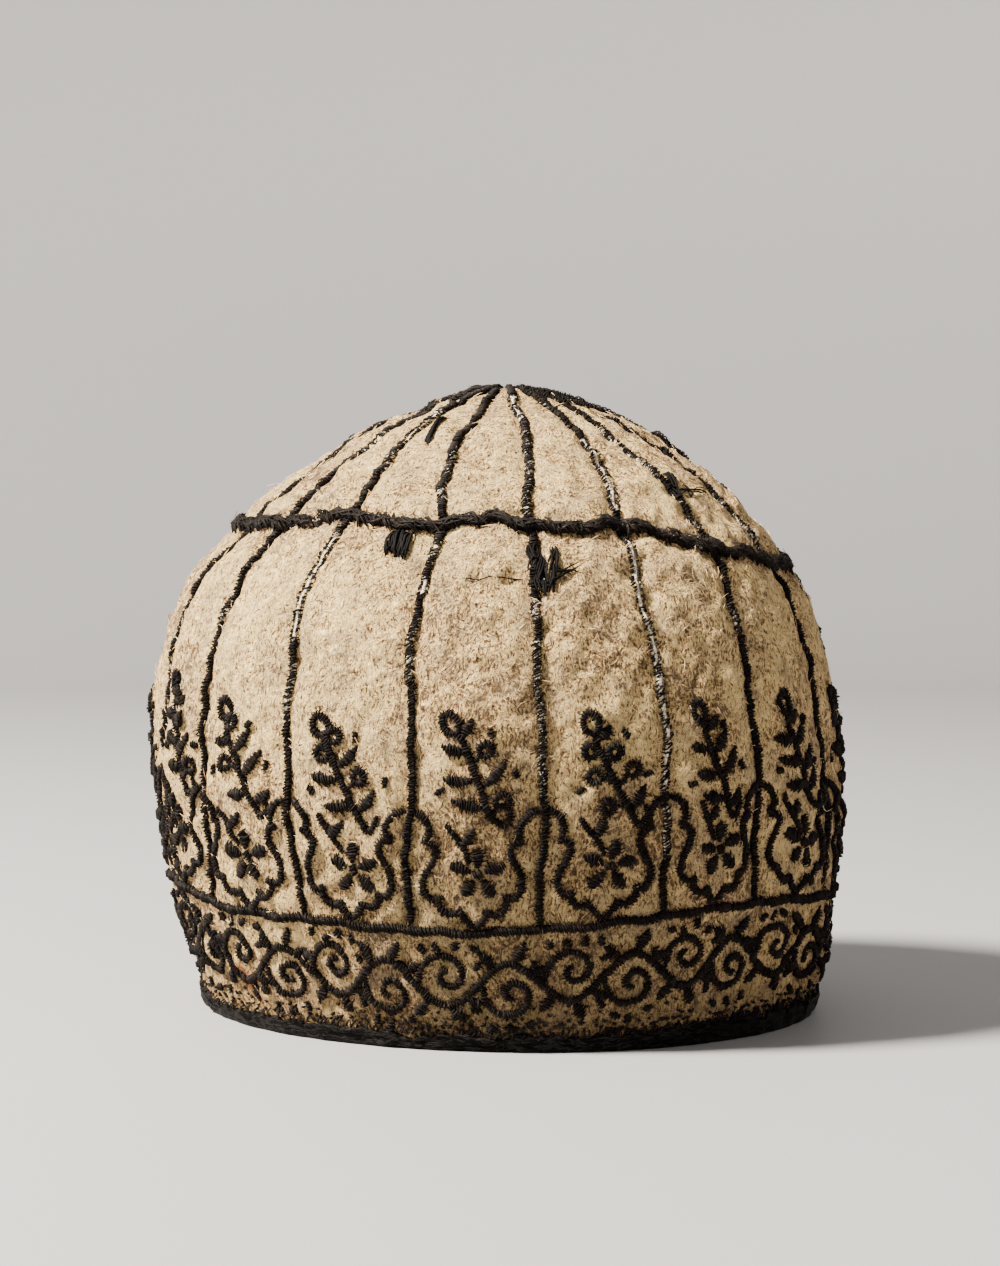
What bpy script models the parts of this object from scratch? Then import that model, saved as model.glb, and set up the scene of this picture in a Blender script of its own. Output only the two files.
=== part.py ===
"""Dervish hat: a tall felt cap, open underneath, with dark wool cord sewn to its outside.

Metres, +Z up. The hat stands on its rim on the floor. The origin is the middle of the head
opening, in the plane of the rim, and the front faces -Y.

Every piece is placed on the wall of the cap by two numbers. The first is the gore: 0 is the first
upright cord, 1 the next one, and so on round the cap. The second is the level: 0 is the rim, 1 the
line of the band cord, 2 the line of the ring cord and 3 the top of the crown.
"""

import math
from collections import namedtuple

import bmesh
import bpy
import numpy as np

# Driving dimensions
GORES = 18
FELT_WALL = 0.0030
SEAT = 0.0003               # gap left between two pieces that touch
CORD_SEAT = 0.00035         # gap under a cord, whose straight runs lie on the flats of the felt
STRIP_THICKNESS = 0.0010    # of the strip that is folded over the rim
GORE_CORD = {"width": 0.0026, "height": 0.0016}
RING_CORD = {"width": 0.0034, "height": 0.0020}
BAND_CORD = {"width": 0.0028, "height": 0.0016}
CARTOUCHE_CORD = {"width": 0.0024, "height": 0.0015}
OVAL = 0.04                 # share by which the cap is longer along OVAL_TURN than across it
OVAL_TURN = 45.0            # degrees from the front towards +X
PUFF = 0.0008               # how far the felt swells between two upright cords
PUFF_LEVELS = (1.2, 1.45, 2.5, 2.9)    # where the swelling starts, is full, eases and ends
RING_GROOVE = {"depth": 0.0012, "half_height": 0.0050}
CROWN_REACH = {"long": 2.945, "short": 2.875}    # levels where the upright cords end
CORD_STEP = 0.03            # least step in level between two sections of an upright cord
CARTOUCHE_TOP = 1.25        # level near which the cartouches meet the upright cords

FELT_COLUMNS = 4            # columns of faces in each gore
SPAN_STEPS = 12             # points that smooth each span of the wall's table
OUTER_LEVELS = (0.0, 0.35, 0.7, 1.0, 1.25, 1.5, 1.7, 1.85, 1.95, 2.0, 2.05, 2.2, 2.4, 2.6, 2.8, 2.93)
INNER_LEVELS = (2.9, 2.75, 2.55, 2.35, 2.15, 2.0, 1.85, 1.7, 1.45, 1.15, 0.6, 0.0)

# The wall from the rim to the top of the crown: height, half of its width, lean towards +X
Section = namedtuple("Section", "height half_width lean")
WALL = [Section(*row) for row in (
    (0.0000, 0.0910, 0.0000),
    (0.0124, 0.0940, -0.0004),
    (0.0276, 0.0974, -0.0010),
    (0.0470, 0.1006, -0.0022),
    (0.0700, 0.1024, -0.0032),
    (0.0920, 0.1014, -0.0042),
    (0.1124, 0.0972, -0.0050),
    (0.1270, 0.0912, -0.0046),
    (0.1400, 0.0820, -0.0030),
    (0.1533, 0.0690, -0.0028),
    (0.1650, 0.0530, -0.0014),
    (0.1750, 0.0374, -0.0010),
    (0.1820, 0.0198, -0.0004),
    (0.1860, 0.0000, 0.0000),
)]

# The upright cords of the front, in degrees from the front, at four levels of the wall.
# Those of the back are spread evenly between the last row and the first.
CORD_LEVELS = (1.0, 1.45, 2.0, 2.5)
CordLine = namedtuple("CordLine", "band waist ring crown")
FRONT_CORDS = [CordLine(*row) for row in (
    (-82.0, -77.5, -75.5, -80.0),
    (-60.3, -58.0, -56.8, -61.0),
    (-35.9, -36.3, -36.2, -41.0),
    (-15.0, -13.0, -12.4, -16.3),
    (6.0, 7.8, 7.3, 8.0),
    (26.0, 27.0, 26.3, 30.5),
    (43.8, 43.8, 45.5, 46.0),
    (66.2, 64.3, 66.0, 67.0),
)]

# Height of the ring cord, of the band cord and of the strip's edge, at angles round the cap
LineRow = namedtuple("LineRow", "angle height")
RING_LINE = [LineRow(*row) for row in (
    (-78.0, 0.1449), (-57.0, 0.1455), (-36.0, 0.1483), (-23.0, 0.1462), (-12.5, 0.1456),
    (-2.5, 0.1479), (7.3, 0.1460), (17.0, 0.1444), (26.5, 0.1457), (45.0, 0.1392),
    (72.0, 0.1338), (110.0, 0.1352), (150.0, 0.1385), (190.0, 0.1402), (240.0, 0.1440),
)]
BAND_LINE = [LineRow(*row) for row in (
    (-77.0, 0.0396), (-56.0, 0.0360), (-36.0, 0.0356), (-5.0, 0.0342), (15.5, 0.0365),
    (42.0, 0.0397), (70.0, 0.0372), (120.0, 0.0360), (180.0, 0.0372), (240.0, 0.0385),
)]
STRIP_EDGE = [LineRow(*row) for row in (
    (-72.0, 0.0040), (-43.0, 0.0052), (8.0, 0.0042), (44.0, 0.0066), (110.0, 0.0050),
    (200.0, 0.0052),
)]

# Soft dents below the ring, at the front: where they are, how deep and how far they spread
Dent = namedtuple("Dent", "gore level depth gores levels")
DENTS = [Dent(*row) for row in (
    (2.70, 1.88, 0.0012, 0.30, 0.07),
    (3.55, 1.80, 0.0010, 0.45, 0.04),
    (3.95, 1.70, 0.0008, 0.25, 0.12),
)]

# Half of a cartouche, from its point on the band up to an upright cord: how far out (0 the middle
# of the gore, 1 the side of the cord) and how high above the band line
Scallop = namedtuple("Scallop", "out height")
CARTOUCHE = [Scallop(*row) for row in (
    (0.00, 0.0036),
    (0.22, 0.0064),
    (0.46, 0.0066),
    (0.58, 0.0094),
    (0.76, 0.0104),
    (0.85, 0.0142),
    (0.66, 0.0195),
    (0.66, 0.0235),
    (0.78, 0.0262),
    (0.84, 0.0312),
    (1.00, 0.0340),
)]


def catmull_rom(before, start, end, after, share):
    """Point at a share of the way from start to end, on a curve that also heeds the neighbours."""
    return 0.5 * (2 * start + (end - before) * share
                  + (2 * before - 5 * start + 4 * end - after) * share ** 2
                  + (3 * start - before - 3 * end + after) * share ** 3)


def smooth_wall():
    """Smooth curve through WALL, with the distance along it: distance, height, half_width, lean."""
    rows = np.array(WALL)
    below = 2 * rows[0] - rows[1]
    beyond = rows[-2] * (1, -1, 1)
    rows = np.vstack([below, rows, beyond])
    shares = np.linspace(0, 1, SPAN_STEPS, endpoint=False)[:, None]
    spans = [catmull_rom(*rows[i:i + 4], shares) for i in range(len(rows) - 3)]
    curve = np.vstack(spans + [rows[-2]])
    steps = np.hypot(np.diff(curve[:, 0]), np.diff(curve[:, 1]))
    distance = np.concatenate([[0.0], np.cumsum(steps)])
    return distance, curve[:, 0], curve[:, 1], curve[:, 2]


DISTANCE, HEIGHT, HALF_WIDTH, LEAN = smooth_wall()
FELT_EDGE = float(np.interp(STRIP_THICKNESS + SEAT, HEIGHT, DISTANCE))


def around(line, angle):
    """Height of a closed line at an angle in degrees, smooth through the rows of its table."""
    angles = np.array([row.angle for row in line])
    heights = np.array([row.height for row in line])
    turned = (np.asarray(angle, float) - angles[0]) % 360.0
    starts = np.append(angles - angles[0], 360.0)
    index = np.clip(np.searchsorted(starts, turned, side="right") - 1, 0, len(line) - 1)
    share = (turned - starts[index]) / (starts[index + 1] - starts[index])
    neighbours = [heights[(index + step) % len(line)] for step in (-1, 0, 1, 2)]
    return catmull_rom(*neighbours, share)


def cord_angles():
    """Angle of every upright cord at each of CORD_LEVELS, one row for each cord and one extra."""
    front = np.array(FRONT_CORDS)
    first_again = front[0] + 360.0
    hidden = GORES - len(front)
    shares = np.arange(1, hidden + 1)[:, None] / (hidden + 1)
    back = front[-1] + (first_again - front[-1]) * shares
    return np.vstack([front, back, first_again])


CORD_ANGLES = cord_angles()


def angle_on_wall(gore, level):
    """Angle round the cap, in degrees, of a place given by its gore and level."""
    turns, gore = np.divmod(gore, GORES)
    columns = [np.interp(gore, range(GORES + 1), column) for column in CORD_ANGLES.T]
    level = np.clip(level, CORD_LEVELS[0], CORD_LEVELS[-1])
    angle = columns[0]
    for step in range(1, len(CORD_LEVELS)):
        low, high = CORD_LEVELS[step - 1], CORD_LEVELS[step]
        share = np.clip((level - low) / (high - low), 0.0, 1.0)
        angle = angle + (columns[step] - columns[step - 1]) * share
    return angle + 360.0 * turns


def distance_of_height(height):
    """Distance up the wall from the rim to a height."""
    return np.interp(height, HEIGHT, DISTANCE)


def distance_on_wall(gore, level):
    """Distance up the wall of a place given by its gore and level."""
    angle = angle_on_wall(gore, level)
    band = distance_of_height(around(BAND_LINE, angle))
    ring = distance_of_height(around(RING_LINE, angle))
    top = DISTANCE[-1]
    lower = FELT_EDGE + (band - FELT_EDGE) * np.clip(level, 0, 1)
    middle = (ring - band) * np.clip(level - 1, 0, 1)
    upper = (top - ring) * np.clip(level - 2, 0, 1)
    return lower + middle + upper


def relief(gore, level, distance):
    """How far the felt stands out of, or is pressed into, its plain wall."""
    fade = np.interp(level, PUFF_LEVELS, (0, 1, 1, 0))
    out = PUFF * fade * np.abs(np.sin(math.pi * gore))
    ring = distance_on_wall(gore, 2.0)
    out = out - RING_GROOVE["depth"] * np.exp(-((distance - ring) / RING_GROOVE["half_height"]) ** 2)
    for dent in DENTS:
        across = (gore - dent.gore) / dent.gores
        up = (level - dent.level) / dent.levels
        out = out - dent.depth * np.exp(-across ** 2 - up ** 2)
    return out


def plain_wall(angle, distance, out=0.0):
    """Point on the wall at an angle in degrees and a distance up it, moved out sideways."""
    turn = np.radians(angle)
    oval = 1 + OVAL * np.cos(2 * (turn - math.radians(OVAL_TURN)))
    radius = np.interp(distance, DISTANCE, HALF_WIDTH) * oval + out
    x = np.interp(distance, DISTANCE, LEAN) + radius * np.sin(turn)
    y = -radius * np.cos(turn)
    z = np.interp(distance, DISTANCE, HEIGHT) + 0 * turn
    return np.stack(np.broadcast_arrays(x, y, z), -1)


def wall_normal(gore, level):
    """Direction out of the felt at a place, square to the plain wall."""
    step = 0.002
    angle = angle_on_wall(gore, level)
    distance = np.minimum(distance_on_wall(gore, level), DISTANCE[-1] - step)
    along = plain_wall(angle + 1.0, distance) - plain_wall(angle - 1.0, distance)
    up = plain_wall(angle, distance + step) - plain_wall(angle, np.maximum(distance - step, 0))
    normal = np.cross(along, up)
    return normal / np.linalg.norm(normal, axis=-1, keepdims=True)


def on_felt(gore, level, lift=0.0):
    """Points on the outside of the felt at places on the wall, lifted square off it."""
    gore, level = np.broadcast_arrays(np.asarray(gore, float), np.asarray(level, float))
    distance = distance_on_wall(gore, level)
    base = plain_wall(angle_on_wall(gore, level), distance)
    out = relief(gore, level, distance) + lift
    return base + wall_normal(gore, level) * out[..., None]


def new_object(name, mesh, material):
    """Recalculate a bmesh's normals outwards, smooth it and link it as a named object."""
    bmesh.ops.recalc_face_normals(mesh, faces=mesh.faces)
    data = bpy.data.meshes.new(name)
    mesh.to_mesh(data)
    mesh.free()
    data.shade_smooth()
    data.set_sharp_from_angle(angle=math.radians(50))
    data.materials.append(material)
    piece = bpy.data.objects.new(name, data)
    bpy.context.scene.collection.objects.link(piece)
    return piece


def bridge(mesh, lower, upper):
    """Faces between two rings of the same number of vertices."""
    for i in range(len(lower)):
        j = (i + 1) % len(lower)
        mesh.faces.new((lower[i], lower[j], upper[j], upper[i]))


def ring_of(mesh, points):
    """Vertices at a ring of points."""
    return [mesh.verts.new(point) for point in points]


def fan(mesh, ring, point):
    """Close a ring of vertices with triangles to one point."""
    tip = mesh.verts.new(point)
    for i in range(len(ring)):
        mesh.faces.new((ring[i], ring[(i + 1) % len(ring)], tip))


def make_felt_cap(material):
    """The cap: outside from the rim to the crown, then the inside back down to the rim."""
    gores = np.arange(GORES * FELT_COLUMNS) / FELT_COLUMNS
    mesh = bmesh.new()
    outer = [ring_of(mesh, on_felt(gores, level)) for level in OUTER_LEVELS]
    inner = [ring_of(mesh, on_felt(gores, level, -FELT_WALL)) for level in INNER_LEVELS[:-1]]
    edge = plain_wall(angle_on_wall(gores, 0.0), FELT_EDGE, -FELT_WALL)
    inner.append(ring_of(mesh, edge))
    for rings in (outer, inner):
        for lower, upper in zip(rings, rings[1:]):
            bridge(mesh, lower, upper)
    bridge(mesh, inner[-1], outer[0])
    top = plain_wall(0.0, DISTANCE[-1])
    fan(mesh, outer[-1], top)
    fan(mesh, inner[0], top - (0, 0, FELT_WALL))
    return new_object("felt_cap", mesh, material)


def make_rim_binding(material):
    """The strip: a U round the felt's edge, with a flat underside that stands on the floor."""
    gores = np.arange(GORES * FELT_COLUMNS) / FELT_COLUMNS
    angles = angle_on_wall(gores, 0.0)
    edge = around(STRIP_EDGE, angles)
    outside = SEAT + STRIP_THICKNESS
    inside = -FELT_WALL - outside
    section = (
        (outside, 0.0), (outside, edge), (SEAT, edge), (SEAT, STRIP_THICKNESS),
        (-FELT_WALL - SEAT, STRIP_THICKNESS), (-FELT_WALL - SEAT, edge), (inside, edge), (inside, 0.0),
    )
    mesh = bmesh.new()
    rings = []
    for out, height in section:
        heights = height + 0 * angles
        points = plain_wall(angles, distance_of_height(heights), out)
        rings.append(ring_of(mesh, points))
    for lower, upper in zip(rings, rings[1:] + rings[:1]):
        bridge(mesh, lower, upper)
    return new_object("rim_binding", mesh, material)


def cord_rings(mesh, gore, level, lift, size, closed):
    """Cross-sections of a cord, flat below and rounded above, square to its path on the felt."""
    path = on_felt(gore, level, lift)
    normal = wall_normal(gore, level)
    if closed:
        run = np.roll(path, -1, axis=0) - np.roll(path, 1, axis=0)
    else:
        run = np.gradient(path, axis=0)
    side = np.cross(run, normal)
    side /= np.linalg.norm(side, axis=1, keepdims=True)
    half, height = size["width"] / 2, size["height"]
    section = ((-half, 0.0), (-0.6 * half, height), (0.6 * half, height), (half, 0.0))
    corners = [path + side * across + normal * up for across, up in section]
    return [ring_of(mesh, points) for points in zip(*corners)]


def make_cord(name, gore, level, lift, size, material, closed=False):
    """A cord sewn to the felt along a path of places, its ends capped unless it is a loop."""
    mesh = bmesh.new()
    rings = cord_rings(mesh, gore, level, lift, size, closed)
    for lower, upper in zip(rings, rings[1:]):
        bridge(mesh, lower, upper)
    if closed:
        bridge(mesh, rings[-1], rings[0])
    else:
        mesh.faces.new(rings[0])
        mesh.faces.new(rings[-1])
    return new_object(name, mesh, material)


def make_band_cord(material):
    """Closed cord on the band line."""
    gore = np.arange(GORES * FELT_COLUMNS) / FELT_COLUMNS
    level = np.ones_like(gore)
    return make_cord("band_cord", gore, level, CORD_SEAT + 0 * gore, BAND_CORD, material, closed=True)


def make_ring_cord(material):
    """Closed cord on the ring line, which climbs over each upright cord that it crosses."""
    over = CORD_SEAT + GORE_CORD["height"] + SEAT
    down = CORD_SEAT
    lift_at_share = ((-0.10, over), (0.10, over), (0.27, down), (0.50, down), (0.73, down))
    gore = np.array([k + share for k in range(GORES) for share, lift in lift_at_share])
    lift = np.array([lift for k in range(GORES) for share, lift in lift_at_share])
    level = np.full_like(gore, 2.0)
    return make_cord("crown_ring_cord", gore, level, lift, RING_CORD, material, closed=True)


def make_gore_cord(k, material):
    """Upright cord from just above the band to the crown, where every other one ends early."""
    gap = BAND_CORD["width"] / 2 + SEAT
    band = distance_on_wall(k, 1.0)
    start = 1.0 + gap / (distance_on_wall(k, 2.0) - band)
    end = CROWN_REACH["long" if k % 2 == 0 else "short"]
    between = [level for level in OUTER_LEVELS if start + CORD_STEP < level < end - CORD_STEP / 2]
    level = np.array([start] + between + [end])
    gore = np.full_like(level, float(k))
    lift = CORD_SEAT + 0 * level
    return make_cord(f"gore_cord_{k + 1:02d}", gore, level, lift, GORE_CORD, material)


def make_cartouche_cord(k, material):
    """Scalloped cord between two upright cords, with its point on the band line."""
    half = [(row.out, row.height) for row in CARTOUCHE]
    outline = [(-out, height) for out, height in reversed(half[1:])] + half
    out, height = np.array(outline).T
    pitch = np.linalg.norm(on_felt(k + 1, CARTOUCHE_TOP) - on_felt(k, CARTOUCHE_TOP))
    taken = GORE_CORD["width"] + 0.6 * CARTOUCHE_CORD["width"] + 2 * SEAT
    gore = k + 0.5 + out / 2 * (1 - taken / pitch)
    band = distance_on_wall(gore, 1.0)
    level = 1.0 + height / (distance_on_wall(gore, 2.0) - band)
    lift = CORD_SEAT + 0 * gore
    return make_cord(f"cartouche_cord_{k + 1:02d}", gore, level, lift, CARTOUCHE_CORD, material)


def make_material(name, colour, roughness):
    """Plain Principled material."""
    material = bpy.data.materials.new(name)
    material.use_nodes = True
    shader = material.node_tree.nodes["Principled BSDF"]
    shader.inputs["Base Color"].default_value = (*colour, 1.0)
    shader.inputs["Roughness"].default_value = roughness
    shader.inputs["Metallic"].default_value = 0.0
    return material


def clear_scene():
    """Remove every object of the scene."""
    for item in list(bpy.data.objects):
        bpy.data.objects.remove(item, do_unlink=True)


def main():
    clear_scene()
    felt = make_material("cream_felt", (0.60, 0.47, 0.30), 0.95)
    wool = make_material("dark_wool", (0.030, 0.020, 0.016), 0.90)
    leather = make_material("dark_strip", (0.020, 0.019, 0.020), 0.60)

    pieces = [make_felt_cap(felt), make_rim_binding(leather)]
    pieces += [make_ring_cord(wool), make_band_cord(wool)]
    for k in range(GORES):
        pieces.append(make_gore_cord(k, wool))
        pieces.append(make_cartouche_cord(k, wool))

    hat = bpy.data.objects.new("dervish_hat", None)
    bpy.context.scene.collection.objects.link(hat)
    for piece in pieces:
        piece.parent = hat


main()
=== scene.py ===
import math

import bpy
import numpy as np
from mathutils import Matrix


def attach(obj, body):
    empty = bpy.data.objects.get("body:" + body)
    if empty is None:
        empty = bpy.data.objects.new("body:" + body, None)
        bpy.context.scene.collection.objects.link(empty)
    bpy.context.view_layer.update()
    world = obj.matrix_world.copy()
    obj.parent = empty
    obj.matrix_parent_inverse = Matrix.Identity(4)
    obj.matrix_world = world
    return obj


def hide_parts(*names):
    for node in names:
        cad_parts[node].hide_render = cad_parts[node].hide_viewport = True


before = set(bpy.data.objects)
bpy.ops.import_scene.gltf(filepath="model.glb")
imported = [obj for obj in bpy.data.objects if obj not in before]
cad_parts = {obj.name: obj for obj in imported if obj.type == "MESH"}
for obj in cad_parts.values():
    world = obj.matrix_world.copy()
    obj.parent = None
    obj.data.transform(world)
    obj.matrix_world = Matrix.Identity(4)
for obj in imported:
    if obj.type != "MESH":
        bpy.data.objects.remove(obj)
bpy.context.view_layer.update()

print("frame loaded, nodes:", len(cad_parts))


# The wall of the cap. A place on it is given by its gore (0 is the first upright cord, 1 the next,
# and so on round the cap) and its rise, the distance up the wall from the rim, in metres.

wall = {
    "rows": (              # height, half width and lean towards +X, from the rim to the top
        (0.0000, 0.0910, 0.0000),
        (0.0124, 0.0940, -0.0004),
        (0.0276, 0.0974, -0.0010),
        (0.0470, 0.1006, -0.0022),
        (0.0700, 0.1024, -0.0032),
        (0.0920, 0.1014, -0.0042),
        (0.1124, 0.0972, -0.0050),
        (0.1270, 0.0912, -0.0046),
        (0.1400, 0.0820, -0.0030),
        (0.1533, 0.0690, -0.0028),
        (0.1650, 0.0530, -0.0014),
        (0.1750, 0.0374, -0.0010),
        (0.1820, 0.0198, -0.0004),
        (0.1860, 0.0000, 0.0000),
    ),
    "steps": 40,           # points that smooth each span of the rows
    "gores": 18,
    "oval": 0.04,
    "ovalTurn": 45.0,      # degrees from the front towards +X
    "thickness": 0.0030,
    "edge": 0.0013,        # height of the felt's lower edge, inside the strip
    "bandPitch": 0.0355,   # width of a gore near the band line
    "degree": 0.095 / 57.3,    # metres round the wall for each degree
}

lines = {
    "levels": (1.0, 1.45, 2.0, 2.5),     # where the cords' angles are given: 1 band, 2 ring, 3 top
    "cords": (                           # degrees from the front, for the cords that the photo shows
        (-82.0, -77.5, -75.5, -80.0),
        (-60.3, -58.0, -56.8, -61.0),
        (-35.9, -36.3, -36.2, -41.0),
        (-15.0, -13.0, -12.4, -16.3),
        (6.0, 7.8, 7.3, 8.0),
        (26.0, 27.0, 26.3, 30.5),
        (43.8, 43.8, 45.5, 46.0),
        (66.2, 64.3, 66.0, 67.0),
    ),
    "ring": (                            # angle and height of the ring cord
        (-78.0, 0.1449), (-57.0, 0.1455), (-36.0, 0.1483), (-23.0, 0.1462), (-12.5, 0.1456),
        (-2.5, 0.1479), (7.3, 0.1460), (17.0, 0.1444), (26.5, 0.1457), (45.0, 0.1392),
        (72.0, 0.1338), (110.0, 0.1352), (150.0, 0.1385), (190.0, 0.1402), (240.0, 0.1440),
    ),
    "band": (                            # angle and height of the band cord
        (-77.0, 0.0396), (-56.0, 0.0360), (-36.0, 0.0356), (-5.0, 0.0342), (15.5, 0.0365),
        (42.0, 0.0397), (70.0, 0.0372), (120.0, 0.0360), (180.0, 0.0372), (240.0, 0.0385),
    ),
    "strip": (                           # angle and height of the strip's upper edge
        (-72.0, 0.0040), (-43.0, 0.0052), (8.0, 0.0042), (44.0, 0.0066), (110.0, 0.0050),
        (200.0, 0.0052),
    ),
}

relief = {
    "puff": 0.0010,                      # swelling of the felt between two cords
    "puffLevels": (1.0, 1.35, 2.5, 2.9),
    "ringDepth": 0.0012,
    "ringHalf": 0.0050,
    "cordDepth": 0.0008,                 # the cords are pulled a little into the felt
    "cordHalf": 0.0030,
    "sewnLevels": (0.98, 1.0, 2.7, 2.9),
    "dents": (                           # gore, level, depth, spread in gores and in levels
        (2.70, 1.88, 0.0014, 0.30, 0.07),
        (3.55, 1.80, 0.0011, 0.45, 0.04),
        (3.95, 1.70, 0.0009, 0.25, 0.12),
        (9.40, 1.75, 0.0012, 0.40, 0.08),
        (13.6, 1.62, 0.0012, 0.35, 0.10),
    ),
    "crease": {"from": 3.40, "to": 4.12, "ends": 0.1, "rise": 0.1350, "depth": 0.0008, "half": 0.0014,
               "darkLine": 0.6, "darkLineHalf": 0.0012},
    "lumps": (                           # size, height and seed of the felt's unevenness
        (0.034, 0.00060, 11),
        (0.013, 0.00042, 12),
        (0.0062, 0.00040, 13),
        (0.0038, 0.00010, 14),
    ),
    "calm": {"top": 0.02, "least": 0.3, "hem": 3, "hemLeast": 0.2},   # they are lower near both ends
}


def unit(v):
    # the same directions, one long
    return v / np.maximum(np.linalg.norm(v, axis=-1, keepdims=True), 1e-12)


def between(before, start, end, after, share):
    # curve from start to end that heeds the points on either side: half of twice the start, plus
    # the slope times the share, plus the square and cube terms that join it smoothly to its spans
    return 0.5 * (2 * start + (end - before) * share
                  + (2 * before - 5 * start + 4 * end - after) * share ** 2
                  + (3 * start - before - 3 * end + after) * share ** 3)


def wallCurve():
    # the wall seen from the side: a smooth curve through its rows, with the distance along it
    rows = np.array(wall["rows"])
    rows = np.vstack([2 * rows[0] - rows[1], rows, rows[-2] * (1, -1, 1)])
    share = np.linspace(0, 1, wall["steps"], endpoint=False)[:, None]
    spans = [between(*rows[i:i + 4], share) for i in range(len(rows) - 3)]
    height, width, lean = np.vstack(spans + [rows[-2]]).T
    steps = np.hypot(np.diff(height), np.diff(width))
    return {"rise": np.append(0, np.cumsum(steps)), "height": height, "width": width, "lean": lean}


curve = wallCurve()
topRise = curve["rise"][-1]
edgeRise = float(np.interp(wall["edge"], curve["height"], curve["rise"]))


def lineHeight(line, angle):
    # height of a line round the cap at an angle, smooth through the rows of its table
    angles, heights = np.array(line).T
    turned = (np.asarray(angle, float) - angles[0]) % 360.0
    starts = np.append(angles - angles[0], 360.0)
    at = np.clip(np.searchsorted(starts, turned, side="right") - 1, 0, len(line) - 1)
    share = (turned - starts[at]) / (starts[at + 1] - starts[at])
    return between(*[heights[(at + step) % len(line)] for step in (-1, 0, 1, 2)], share)


def lineRise(line, angle):
    # how far up the wall such a line runs
    return np.interp(lineHeight(line, angle), curve["height"], curve["rise"])


def cordAngles():
    # angle of every upright cord at each level: the rows of the front, then even steps round the back
    front = np.array(lines["cords"])
    hidden = wall["gores"] - len(front)
    share = np.arange(1, hidden + 1)[:, None] / (hidden + 1)
    back = front[-1] + (front[0] + 360.0 - front[-1]) * share
    return np.vstack([front, back, front[0] + 360.0])


cordTable = cordAngles()


def placeAngle(gore, level):
    # angle round the cap, between the angles of the two cords beside it at that level
    turns, gore = np.divmod(gore, wall["gores"])
    columns = [np.interp(gore, range(wall["gores"] + 1), column) for column in cordTable.T]
    angle = columns[0]
    for i in range(1, len(columns)):
        low, high = lines["levels"][i - 1:i + 1]
        share = np.clip((level - low) / (high - low), 0, 1)
        angle = angle + (columns[i] - columns[i - 1]) * share * share * (3 - 2 * share)
    return angle + 360.0 * turns


def turnFrom(angle, start):
    # degrees from one angle to another, the short way round
    return (angle - start + 180) % 360 - 180


def place(gore, rise):
    # angle and level of a place. Each depends a little on the other, so three rounds settle them
    gore, rise = np.broadcast_arrays(np.asarray(gore, float), np.asarray(rise, float))
    angle = placeAngle(gore, 1.5 + 0 * rise)
    for repeat in range(3):
        band, ring = lineRise(lines["band"], angle), lineRise(lines["ring"], angle)
        low = (rise - edgeRise) / (band - edgeRise)
        middle = 1 + (rise - band) / (ring - band)
        high = 2 + (rise - ring) / (topRise - ring)
        level = np.where(rise < band, low, np.where(rise < ring, middle, high))
        angle = placeAngle(gore, level)
    return angle, level


def plainWall(angle, rise, out=0.0):
    # an oval of the wall's width at that rise, leaning with the wall, moved out sideways
    turn = np.radians(angle)
    oval = 1 + wall["oval"] * np.cos(2 * (turn - math.radians(wall["ovalTurn"])))
    radius = np.interp(rise, curve["rise"], curve["width"]) * oval + out
    x = np.interp(rise, curve["rise"], curve["lean"]) + radius * np.sin(turn)
    z = np.interp(rise, curve["rise"], curve["height"]) + 0 * turn
    return np.stack(np.broadcast_arrays(x, -radius * np.cos(turn), z), -1)


def wallWays(angle, rise):
    # the three directions at a place: round the cap, up the wall, and out of the felt
    step = 0.0015
    rise = np.clip(rise, step, topRise - step)
    east = unit(plainWall(angle + 1.0, rise) - plainWall(angle - 1.0, rise))
    north = unit(plainWall(angle, rise + step) - plainWall(angle, rise - step))
    out = unit(np.cross(east, north))
    return east, np.cross(out, east), out


def softNoise(points, size, seed):
    # smooth random lumps of about that size: the mean of sine waves that run in random directions
    dice, waves = np.random.default_rng(seed), 16
    ways = unit(dice.normal(size=(waves, 3))) * dice.uniform(0.6, 1.5, (waves, 1)) * (2 * math.pi / size)
    starts = dice.uniform(0, 2 * math.pi, waves)
    total = sum(np.sin(points @ way + start) for way, start in zip(ways, starts))
    return total / math.sqrt(waves)


def pitchAt(rise):
    # width of one gore at a rise: the way round the wall, shared between the gores
    return 2 * math.pi * np.interp(rise, curve["rise"], curve["width"]) / wall["gores"]


def besideCord(gore, rise):
    # distance of a place from the nearest upright cord's line
    return np.abs(gore - np.round(gore)) * pitchAt(rise)


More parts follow.
